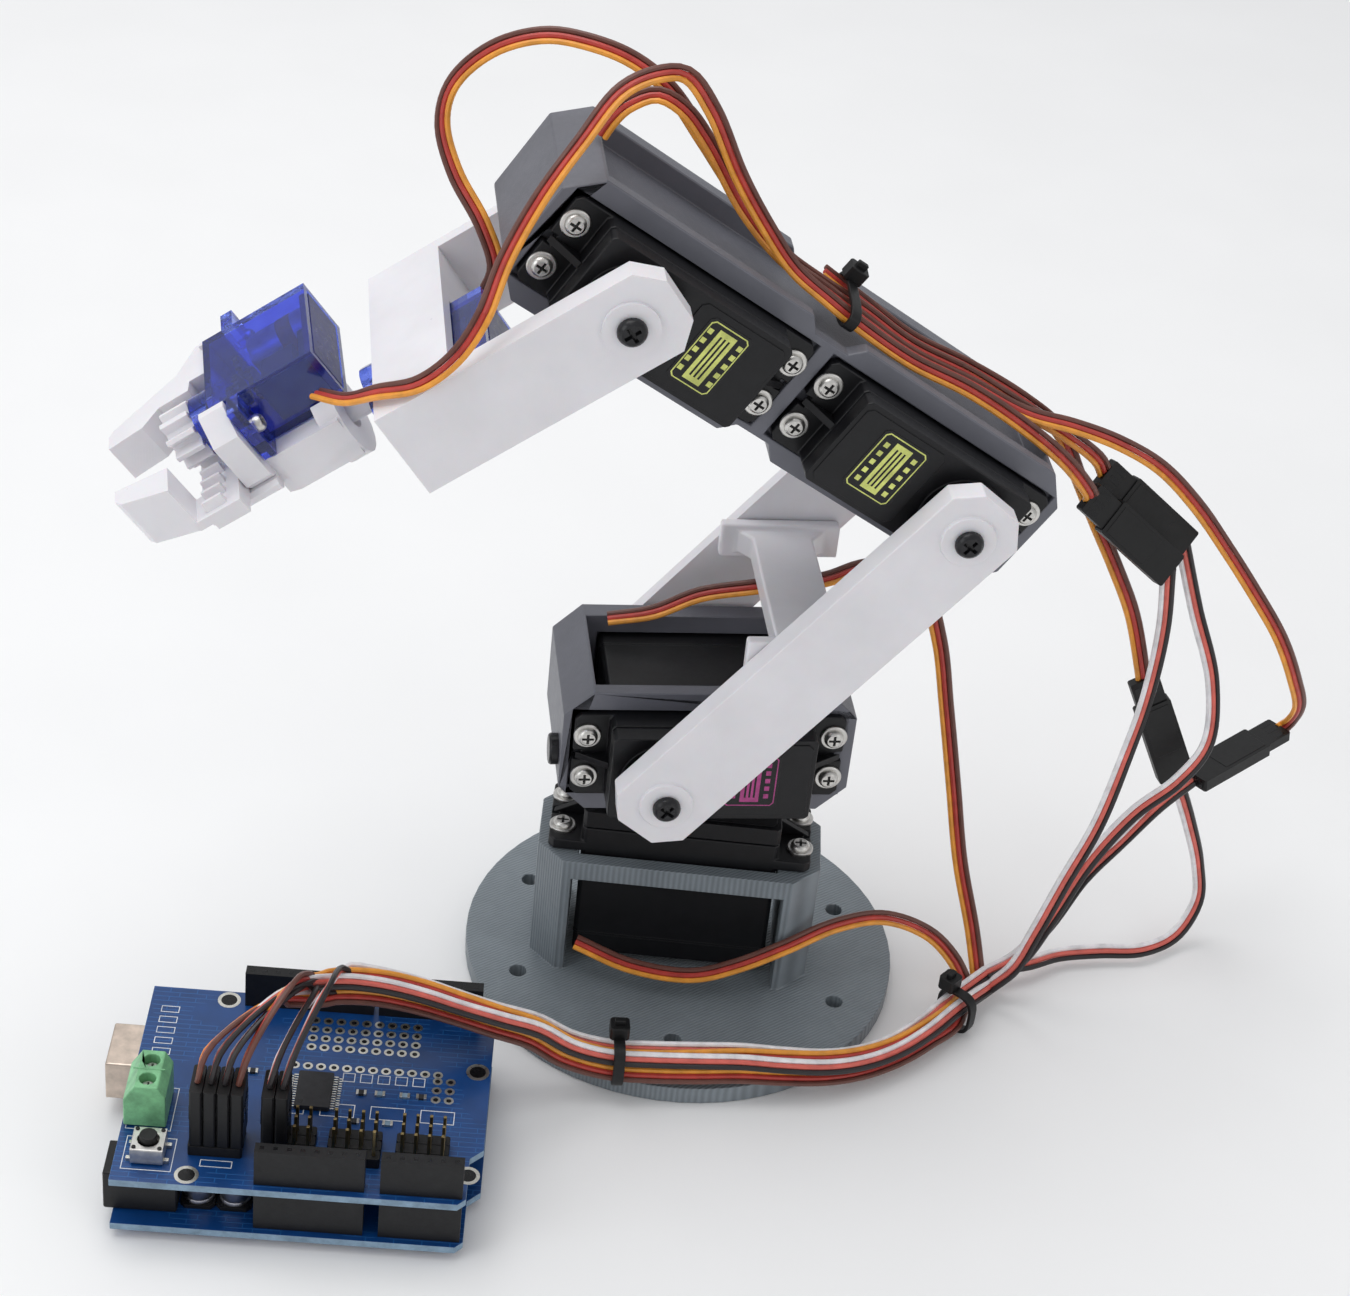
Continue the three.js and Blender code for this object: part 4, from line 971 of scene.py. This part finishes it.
def add_ties():
    forearm = turned_matrix((16.5, 1.8, 160.6), (0, 33, 8))
    add_tie("forearm_cable_tie", forearm, 7.4, 1.7, "forearm", "forearm_tie")
    table = turned_matrix((59.3, -15, 5.3), (0, 0, 232))
    add_tie("table_cable_tie", table, 3.6, 4.2, "base", "table_tie", -1)
    disc = turned_matrix((-11, -45.15, 9.75), (0, 0, 186))
    add_tie("disc_cable_tie", disc, 3.4, 4.2, "base", "disc_tie", -1)


# ---- screws -------------------------------------------------------------------------------


def cross_head(bm, centre, base, radius, height, look=0, recess=1, depth=0.55):
    """A pan head seen along +Z with a cross recess, whose floor is a dark disc of painted shade."""
    u, v = centre
    top = base + height
    profile = [(0, base), (radius, base), (radius, base + height * 0.35)]
    profile += [(radius * 0.9, base + height * 0.75), (radius * 0.72, top), (radius * 0.6, top)]
    profile += [(radius * 0.54, top - depth), (0, top - depth)]
    add_lathe(bm, "z", profile, centre, 24, look)
    arm, half = radius * 0.58, radius * 0.13
    for su in (-1, 1):
        for sv in (-1, 1):
            outline = [
                (u + su * half, v + sv * half),
                (u + su * arm, v + sv * half),
                (u + su * arm * 0.9, v + sv * arm * 0.55),
                (u + su * arm * 0.55, v + sv * arm * 0.9),
                (u + su * half, v + sv * arm),
            ]
            add_prism(bm, "z", outline[:: su * sv], top - depth - 0.05, top - 0.02, look)
    # Dark disc on the recess floor: painted shade where the real screw shows its own metal.
    add_prism(bm, "z", circle(arm, centre, 16), top - depth - 0.04, top - depth + 0.02, recess)


def add_flange_screws(name, matrix, body):
    """Bright pan-head screws on round washers through the servo's flange."""
    bm = bmesh.new()
    for u, v in SERVO_HOLES:
        z = SERVO_FLANGE
        washer = [(0, z), (2.75, z), (2.75, z + 0.45), (2.55, z + 0.6), (0, z + 0.6)]
        add_lathe(bm, "z", washer, (u, v), 28)
        cross_head(bm, (u, v), z + 0.55, 2.0, 1.05)
    make(f"{name}_flange_screws", bm, ["steel", "black_print_and_painted_shade"], matrix, body, 0.06)


# ---- standard servos ------------------------------------------------------------------------


def servo_label(bm, x, y, z):
    """A printed label: dark ground (0), a thin printed outline and panel (1), dark bars (0)."""
    (x0, x1), (y0, y1) = x, y
    add_box(bm, x, y, (z, z + 0.12), 0, 0.8)
    add_prism(bm, "z", rectangle(x0 + 0.5, x1 - 0.5, y0 + 0.5, y1 - 0.5, 0.7), z + 0.1, z + 0.15, 1)
    add_prism(bm, "z", rectangle(x0 + 0.75, x1 - 0.75, y0 + 0.75, y1 - 0.75, 0.6), z + 0.13, z + 0.18, 0)
    middle = (x0 + x1) / 2
    add_box(bm, (middle - 1.9, middle + 1.9), (y0 + 1.5, y1 - 1.5), (z + 0.16, z + 0.21), 1)
    for k in (-0.9, 0, 0.9):
        add_box(bm, (middle + k - 0.2, middle + k + 0.2), (y0 + 2.6, y1 - 2.6), (z + 0.19, z + 0.24), 0)
    for side in (-1, 1):
        for step in range(5):
            y = y0 + 2.4 + step * (y1 - y0 - 4.8) / 4.4
            across = middle + side * 3.3
            add_box(bm, (across - 0.5, across + 0.5), (y, y + 1.1), (z + 0.16, z + 0.21), 1)


def add_servo_details(name, matrix, body):
    """Flange ribs, the ridge round the gearbox boss, the case's seams and the lid's step."""
    bm = bmesh.new()
    for inner, outer in ((-10.2, -16.6), (30.5, 36.9)):
        rib = [(inner, SERVO_FLANGE), (outer, SERVO_FLANGE), (inner, 6.2)]
        rib = rib if inner > outer else rib[::-1]
        add_prism(bm, "y", rib, -0.7, 0.7)
    low, high = SERVO_TOP - 0.1, SERVO_TOP + 0.4
    add_lathe(bm, "z", [(7.7, low), (8.5, low), (8.4, high), (7.8, high), (7.7, low)], (0, 0), 36)
    add_box(bm, (10.6, 29.6), (-8.8, 8.8), (SERVO_TOP - 0.1, SERVO_TOP + 0.22), 0, 1.0)
    for z in (-21.6, -22.2):
        add_box(bm, (-10.28, 30.58), (-9.93, 9.93), (z, z + 0.25), 0, 0.8)
    make(f"{name}_case_details", bm, ["servo"], matrix, body, 0.12)


LABELS = {
    "elbow": ((13.4, 24.2), (-7.4, 6.6), "yellow_label"),
    "wrist": ((13.6, 23), (-7, 7.4), "yellow_label"),
    "shoulder": ((12.2, 23.4), (-6.6, 6.6), "pink_label"),
}


def add_servo(name):
    matrix, body = SEATS[name]
    dress(f"{name}_servo_case", "servo", 0.35)
    dress(f"{name}_servo_cover", "servo", 0.35)
    add_servo_details(name, matrix, body)
    add_flange_screws(name, matrix, body)
    if name in LABELS:
        x, y, print_look = LABELS[name]
        bm = bmesh.new()
        servo_label(bm, x, y, SERVO_TOP + 0.2)
        looks = ["black_print_and_painted_shade", print_look]
        make(f"{name}_servo_label", bm, looks, matrix, body, 0.03)


def add_front_horn(name, matrix, body, node):
    """Spline, round horn and the black clamping screw, turned so that +Z is the shaft."""
    bm = bmesh.new()
    spline_and_horn = [(0, 7.8), (2.9, 7.8), (2.9, 12.2), (6.8, 12.3), (6.8, 14.6), (6.5, 14.9), (0, 14.9)]
    add_lathe(bm, "z", spline_and_horn)
    add_lathe(bm, "z", [(0, 14.8), (1.3, 14.8), (1.3, 19.4), (0, 19.4)], count=14)
    cross_head(bm, (0, 0), 19.3, 2.75, 1.6, depth=0.8)
    looks = ["blackened", "black_print_and_painted_shade"]
    make(f"{name}_horn_screw", bm, looks, matrix, body, 0.08, stands_for=[node])


def add_rear_screw(name, matrix, body, node):
    """Black pan-head pivot screw behind the rear plate, head towards +Y."""
    bm = bmesh.new()
    add_lathe(bm, "z", [(0, -5.6), (1.5, -5.6), (1.5, 0.2), (0, 0.2)], count=16)
    cross_head(bm, (0, 0), 0.1, 2.85, 1.9, depth=0.8)
    turned = matrix @ Matrix.Translation((0, REAR_FACE + 0.2, 0)) @ Matrix.Rotation(-math.pi / 2, 4, "X")
    looks = ["blackened", "black_print_and_painted_shade"]
    make(f"{name}_pivot_screw", bm, looks, turned, body, 0.08, stands_for=[node])


def add_pivots():
    front = Matrix.Translation((0, FLANGE_Y, 0)) @ FACE_FRONT
    arm_length = (joint_place("elbow") - joint_place("shoulder")).length / MM
    elbow = ARM @ Matrix.Translation((arm_length, 0, 0))
    for name, matrix, body in (
        ("shoulder", ARM, "upper_arm"),
        ("elbow", elbow, "upper_arm"),
        ("wrist", WRIST, "wrist"),
    ):
        add_front_horn(name, matrix @ front, body, f"{name}_horn")
        add_rear_screw(name, matrix, body, f"{name}_rear_screw")


# ---- micro servos -----------------------------------------------------------------------------


def add_gear(bm, centre, radius, lo, hi, teeth, look):
    outline = []
    for i in range(teeth):
        for r, part in ((radius * 0.84, 0), (radius * 0.84, 0.35), (radius, 0.5), (radius, 0.85)):
            angle = 2 * math.pi * (i + part) / teeth
            outline.append((centre[0] + r * math.cos(angle), centre[1] + r * math.sin(angle)))
    add_prism(bm, "z", outline, lo, hi, look)


def add_micro_servo(name, sticker=None):
    """Clear case from the CAD, with motor, gear train, circuit board and bottom lid inside."""
    matrix, body = MICRO_SEATS[name]
    dress(f"{name}_servo_case", "blue", 0.3)
    bm = bmesh.new()
    motor = [(0, -14), (4.3, -14), (4.3, -2.4), (3.9, -1.6), (1.2, -1.6), (1.2, -0.6), (0, -0.6)]
    add_lathe(bm, "z", motor, (10.6, 0), 28, 0)
    add_lathe(bm, "z", [(0, -11.4), (4.36, -11.4), (4.36, -8.2), (0, -8.2)], (10.6, 0), 28, 1)
    add_box(bm, (-4.4, -3.4), (-4.5, 4.5), (-14, -3), 2)
    add_box(bm, (-3.4, 4.6), (-4.4, 4.4), (-14, -12.8), 2)
    add_box(bm, (-2.4, 3.6), (-3.4, 3.4), (-11, -4), 3)
    for centre, radius, lo, hi, teeth in (
        ((6.2, 1.4), 3.0, -0.6, 0.6, 18),
        ((2.2, -1.2), 2.8, 1.0, 2.1, 16),
        ((9.6, -0.6), 2.4, 1.1, 2.2, 14),
        ((0, 0), 3.6, 2.6, 3.8, 20),
    ):
        add_gear(bm, centre, radius, lo, hi, teeth, 4)
    add_lathe(bm, "z", [(0, 3.6), (2.3, 3.6), (2.3, 5.1), (0, 5.1)], count=18, look=4)
    add_box(bm, (-4.4, 15.1), (-4.6, 4.6), (-15.9, -14.1), 5)
    looks = ["can", "copper", "inner_board", "chip", "brass", "blue_solid"]
    node = f"{name}_servo_drive"
    make(f"{name}_servo_works", bm, looks, matrix, body, 0.1, stands_for=[node])
    bm = bmesh.new()
    for x in MICRO_HOLES:
        cross_head(bm, (x, 0), 0, 1.75, 1.3)
    turned = matrix @ Matrix.Rotation(math.pi, 4, "X")
    make(f"{name}_servo_screws", bm, ["steel", "black_print_and_painted_shade"], turned, body, 0.05)
    if not sticker:
        return
    bm = bmesh.new()
    add_box(bm, (1.6, 12.4), (-6.2, -6.1), (-13.6, -4.4), 0)
    make(f"{name}_servo_sticker", bm, [sticker], matrix, body, 0)


# ---- printed parts ------------------------------------------------------------------------------


def dress_printed_parts():
    dress("base_housing", "grey", 0.3)
    dress("turret_housing", "grey_arm", 0.3)
    dress("forearm_housing", "grey_arm", 0.35)
    dress("upper_arm_plate_front", "white", 0.9, 4)
    dress("upper_arm_plate_rear", "white", 0.7, 3)
    dress("arm_brace", "white", 0.7, 3)
    dress("wrist_bracket", "white", 0.9, 4)
    dress("gripper_frame", "white", 0.6, 3)
    dress("gripper_pinion", "white", 0.18, 2)
    dress("sliding_jaw", "white", 0.45, 3)
    dress("roll_horn", "white", 0.2, 2)
    dress("waist_horn", "steel", 0.2, 2)


def add_turret_knob():
    """Black thumb screw in the turret's left wall."""
    bm = bmesh.new()
    profile = [(0, -2.6), (2.9, -2.6), (3.2, -2.2), (3.2, -0.5), (2.8, 0), (1.2, 0), (1.2, 2), (0, 2)]
    add_lathe(bm, "x", profile, (-9, 60.5), 20)
    matrix = TURRET @ Matrix.Translation((-17.6, 0, 0))
    make("turret_knob", bm, "blackened", matrix, "turret", 0.15)


# ---- controller -----------------------------------------------------------------------------------


def board_outline():
    length, width = BOARD_LENGTH, BOARD_WIDTH
    return [
        (0, 0), (length - 4, 0), (length - 2.5, 1.5), (length - 2.5, 12), (length, 14.5),
        (length, width - 4), (length - 2.5, width - 1.5), (length - 2.5, width), (0, width),
    ]


def add_ring(bm, centre, inner, outer, z, height, look, count=16):
    profile = [(inner, z), (outer, z), (outer, z + height), (inner, z + height), (inner, z)]
    add_lathe(bm, "z", profile, centre, count, look)


def header_pins(span):
    first = span[0] + 1.3
    count = int((span[1] - span[0]) / PITCH + 0.3)
    return [first + PITCH * i for i in range(count)]


def add_socket_strips(bm, z0, z1, look, hole_shade_look):
    """Female headers: a housing with a thin dark square of painted shade over each pin, standing in for
    its hole.
    """
    for row, spans in HEADER_SPANS.items():
        y = HEADER_ROWS[row]
        for span in spans:
            add_box(bm, span, (y - 1.25, y + 1.25), (z0, z1), look)
            for x in header_pins(span):
                # Painted shade over each pin's hole; no hole is cut.
                hole = rectangle(x - 0.42, x + 0.42, y - 0.42, y + 0.42)
                add_prism(bm, "z", hole, z1 - 0.02, z1 + 0.03, hole_shade_look)


def add_main_board():
    bm = bmesh.new()
    add_prism(bm, "z", board_outline(), 2, MAIN_TOP)
    add_board("main_circuit_board", bm, "main_board")
    bm = bmesh.new()
    add_socket_strips(bm, MAIN_TOP, SHIELD_BOTTOM - 0.3, 0, 1)
    for row, spans in HEADER_SPANS.items():
        for span in spans:
            for x in header_pins(span):
                y = HEADER_ROWS[row]
                add_lathe(bm, "z", [(0, 0.4), (0.45, 0.4), (0.8, 2.02), (0, 2.02)], (x, y), 8, 2)
    looks = ["header", "black_print_and_painted_shade", "tin"]
    make("main_board_sockets", bm, looks, BOARD, "base", 0.12)


def add_board(name, bm, node):
    """A bare board, whose sawn edge shows its pale core."""
    piece = make(name, bm, "board", BOARD, "base", 0.12, stands_for=[node])
    piece.data.materials.append(LOOK["board_edge"])
    for face in piece.data.polygons:
        if abs(face.normal.z) < 0.5:
            face.material_index = 1


def pad_grid():
    """Ring holes of the prototyping field on the servo board."""
    for row in range(4):
        for column in range(9):
            yield 33 + column * PITCH, 39.2 + row * PITCH
    for row in range(3):
        for column in range(2):
            yield 58.4 + column * PITCH, 27 + row * PITCH
    for column in range(12):
        yield 30.4 + column * PITCH, 33.8


def add_shield_board():
    bm = bmesh.new()
    add_prism(bm, "z", board_outline(), SHIELD_BOTTOM, SHIELD_TOP)
    add_board("shield_circuit_board", bm, "shield_board")
    bm = bmesh.new()
    # A dark disc inside each tinned ring, here and at the mounting holes below, is painted shade standing
    # in for the hole through the board.
    for x, y in pad_grid():
        add_ring(bm, (x, y), 0.52, 0.98, SHIELD_TOP, 0.06, 0, 14)
        add_prism(bm, "z", circle(0.52, (x, y), 12), SHIELD_TOP, SHIELD_TOP + 0.03, 1)
    for x, y in ((14, 2.6), (15.3, 50.8), (66, 7.6), (66, 35.5)):
        add_ring(bm, (x, y), 1.6, 2.3, SHIELD_TOP, 0.06, 0, 20)
        add_prism(bm, "z", circle(1.6, (x, y), 20), SHIELD_TOP, SHIELD_TOP + 0.03, 1)
    make("shield_pads", bm, ["tin", "black_print_and_painted_shade"], BOARD, "base", 0)
    bm = bmesh.new()
    add_silk(bm)
    make("shield_silk_lines", bm, "silk", BOARD, "base", 0)
    bm = bmesh.new()
    add_socket_strips(bm, SHIELD_TOP, SHIELD_TOP + 8.5, 0, 1)
    make("shield_sockets", bm, ["header", "black_print_and_painted_shade"], BOARD, "base", 0.12)


def add_silk(bm):
    """White printed outlines: plain boxes and lines, with no lettering."""
    def frame_box(x0, x1, y0, y1, line=0.16):
        z = (SHIELD_TOP + 0.01, SHIELD_TOP + 0.05)
        add_box(bm, (x0, x1), (y0, y0 + line), z)
        add_box(bm, (x0, x1), (y1 - line, y1), z)
        add_box(bm, (x0, x0 + line), (y0 + line, y1 - line), z)
        add_box(bm, (x1 - line, x1), (y0 + line, y1 - line), z)

    frame_box(1.6, 11, 3, 11.6)
    for i in range(5):
        frame_box(40 + i * 3.4, 42.4 + i * 3.4, 30.2, 32.6)
    for i in range(4):
        frame_box(27 + i * 9.6, 33.6 + i * 9.6, 20.5, 24)
    frame_box(16, 22, 5, 6.8)
    frame_box(0.8, 9.4, 13.4, 25)
    for i in range(6):
        frame_box(2.4, 6, 31 + i * 3, 32.8 + i * 3)


def add_pin_blocks():
    """Four blocks of three-row servo pins."""
    bm = bmesh.new()
    for x0 in (13.4, 26.8, 39.2, 52):
        for row in range(3):
            y = 8.86 + row * PITCH
            add_box(bm, (x0, x0 + 10.1), (y - 1.22, y + 1.22), (SHIELD_TOP, SHIELD_TOP + 2.4), 0, 0.3)
            for column in range(4):
                x = x0 + 1.27 + column * PITCH
                pin = rectangle(x - 0.32, x + 0.32, y - 0.32, y + 0.32)
                add_prism(bm, "z", pin, SHIELD_TOP, SHIELD_TOP + 8.6, 1)
    make("servo_pin_blocks", bm, ["header", "gold"], BOARD, "base", 0.1)


def add_shield_chip():
    """Driver chip with its gull-wing legs, and the small parts round it."""
    bm = bmesh.new()
    z = SHIELD_TOP
    add_box(bm, (31.6, 38.4), (21.6, 31.2), (z + 0.15, z + 1.25), 0, 0.25)
    add_prism(bm, "z", circle(0.5, (32.8, 22.9), 12), z + 1.2, z + 1.28, 3)
    for i in range(14):
        y = 22.1 + i * 0.66
        for x0, x1, foot0, foot1 in ((30.6, 31.7, 29.9, 30.8), (38.3, 39.4, 39.2, 40.1)):
            add_box(bm, (x0, x1), (y - 0.14, y + 0.14), (z + 0.4, z + 0.6), 1)
            add_box(bm, (foot0, foot1), (y - 0.14, y + 0.14), (z + 0.02, z + 0.2), 1)
            middle = 30.75 if x0 < 35 else 39.3
            add_box(bm, (middle - 0.1, middle + 0.1), (y - 0.14, y + 0.14), (z + 0.1, z + 0.6), 1)
    row = [(x, 27.2) for x in (44, 47.6, 52.4, 55.6)]
    loose = [(27.4, 26.4), (27.4, 29.6), (43.4, 19.4), (49.8, 19.4), (18.8, 27), (22.6, 31)]
    for number, (x, y) in enumerate(row + loose):
        look = 2 if number % 3 else 0
        add_box(bm, (x - 0.55, x + 0.55), (y - 0.6, y + 0.6), (z, z + 0.55), look)
        add_box(bm, (x - 1.0, x - 0.5), (y - 0.62, y + 0.62), (z, z + 0.58), 1)
        add_box(bm, (x + 0.5, x + 1.0), (y - 0.62, y + 0.62), (z, z + 0.58), 1)
    looks = ["chip", "tin", "board_edge", "black_print_and_painted_shade"]
    node = ["driver_chip"]
    make("shield_parts", bm, looks, BOARD, "base", 0.05, stands_for=node)


def add_main_board_chips():
    """Microcontroller with its two rows of legs, and the metal can beside it."""
    bm = bmesh.new()
    z = MAIN_TOP
    add_box(bm, (30, 64), (14.6, 21.4), (z + 0.5, z + 4), 0, 0.3)
    for i in range(14):
        x = 30.6 + i * PITCH * 0.98
        for y in (14.2, 21.6):
            add_box(bm, (x - 0.3, x + 0.3), (y, y + 0.3), (z, z + 2.4), 1)
    add_box(bm, (20, 24), (24, 35), (z, z + 3.4), 1, 1.2)
    node, looks = ["microcontroller"], ["chip", "tin"]
    make("main_board_chips", bm, looks, BOARD, "base", 0.15, stands_for=node)


def add_capacitors():
    for number, x in enumerate((15.6, 22.4), 1):
        bm = bmesh.new()
        z = MAIN_TOP
        add_box(bm, (x - 3.3, x + 3.3), (8.4 - 3.3, 8.4 + 3.3), (z, z + 0.9), 1, 0.9)
        can = [(0, 0.8), (3, 0.8), (3, 1.3), (2.85, 1.7), (3, 2.1), (3, 6), (2.7, 6.3), (0, 6.3)]
        add_lathe(bm, "z", [(r, z + h) for r, h in can], (x, 8.4), 32, 0)
        mark = [(x - 2.6, 9.6), (x - 1.2, 10.9), (x + 1.2, 10.9), (x + 2.6, 9.6)]
        add_prism(bm, "z", mark, z + 6.2, z + 6.33, 1)
        name, node = f"smoothing_capacitor_{number}", [f"capacitor_{number}"]
        make(name, bm, ["can", "header"], BOARD, "base", 0.1, stands_for=node)


def add_sockets():
    """USB socket shell with its tongue, and the round power jack."""
    dress("usb_socket", "shell", 0.5, 3)
    bm = bmesh.new()
    add_box(bm, (-3.4, 5.9), (35.6, 40.6), (7.2, 9.8), 0)
    for k in range(4):
        y = 36.3 + k * 1.2
        add_box(bm, (-3.2, 5.4), (y - 0.3, y + 0.3), (9.75, 9.95), 1)
    make("usb_tongue", bm, ["tongue", "gold"], BOARD, "base", 0.1)
    dress("power_jack", "black", 0.4)
    bm = bmesh.new()
    add_lathe(bm, "x", [(0, 8), (0.95, 8), (0.95, -0.6), (0.6, -1.2), (0, -1.3)], (7.8, 8.5), 16, 0)
    make("power_jack_pin", bm, "tin", BOARD, "base", 0)


def add_terminal_block():
    dress("terminal_block", "green", 0.25)
    bm = bmesh.new()
    z = SHIELD_TOP + 7.6
    for y in (16.6, 21.6):
        cross_head(bm, (4.7, y), z, 1.5, 0.9, depth=0.4)
    make("terminal_screws", bm, ["steel", "black_print_and_painted_shade"], BOARD, "base", 0.05)
    bm = bmesh.new()
    # Dark slabs on the block's face: painted shade standing in for the wire openings.
    for y in (16.6, 21.6):
        add_box(bm, (0.36, 0.5), (y - 1.5, y + 1.5), (SHIELD_TOP + 1.4, SHIELD_TOP + 4.6), 0)
    add_box(bm, (1.6, 7.6), (18.95, 19.25), (SHIELD_TOP + 10.2, SHIELD_TOP + 10.4), 1)
    make("terminal_details", bm, ["black_print_and_painted_shade", "green"], BOARD, "base", 0.05)


def add_reset_switch():
    dress("reset_switch", "steel", 0.2)
    dress("reset_cap", "black", 0.25)
    bm = bmesh.new()
    z = SHIELD_TOP + 0.3
    for x in (2.4, 9.4):
        for y in (5, 9):
            add_box(bm, (x - 0.1, x + 0.9), (y, y + 0.8), (SHIELD_TOP, z + 0.5), 0)
    for x, y in ((3.9, 4.9), (8.7, 4.9), (3.9, 9.7), (8.7, 9.7)):
        add_lathe(bm, "z", [(0, z + 3.4), (0.45, z + 3.4), (0.4, z + 3.85), (0, z + 3.9)], (x, y), 12, 1)
    make("reset_switch_legs", bm, ["tin", "black"], BOARD, "base", 0.05)


# ---- assembly ---------------------------------------------------------------------------------------

add_camera()
add_studio()

plugs = [add_plug(index, x) for index, x in enumerate(PLUG_PLACES)]
for number, (place, turns) in enumerate(CONNECTORS, 1):
    add_connector(number, place, turns)
add_leads()
add_bundle()
add_ties()

dress_printed_parts()
add_turret_knob()
for servo in SEATS:
    add_servo(servo)
add_pivots()
add_micro_servo("roll", "brown_label")
add_micro_servo("gripper")

add_main_board()
add_shield_board()
add_pin_blocks()
add_shield_chip()
add_main_board_chips()
add_capacitors()
add_sockets()
add_terminal_block()
add_reset_switch()
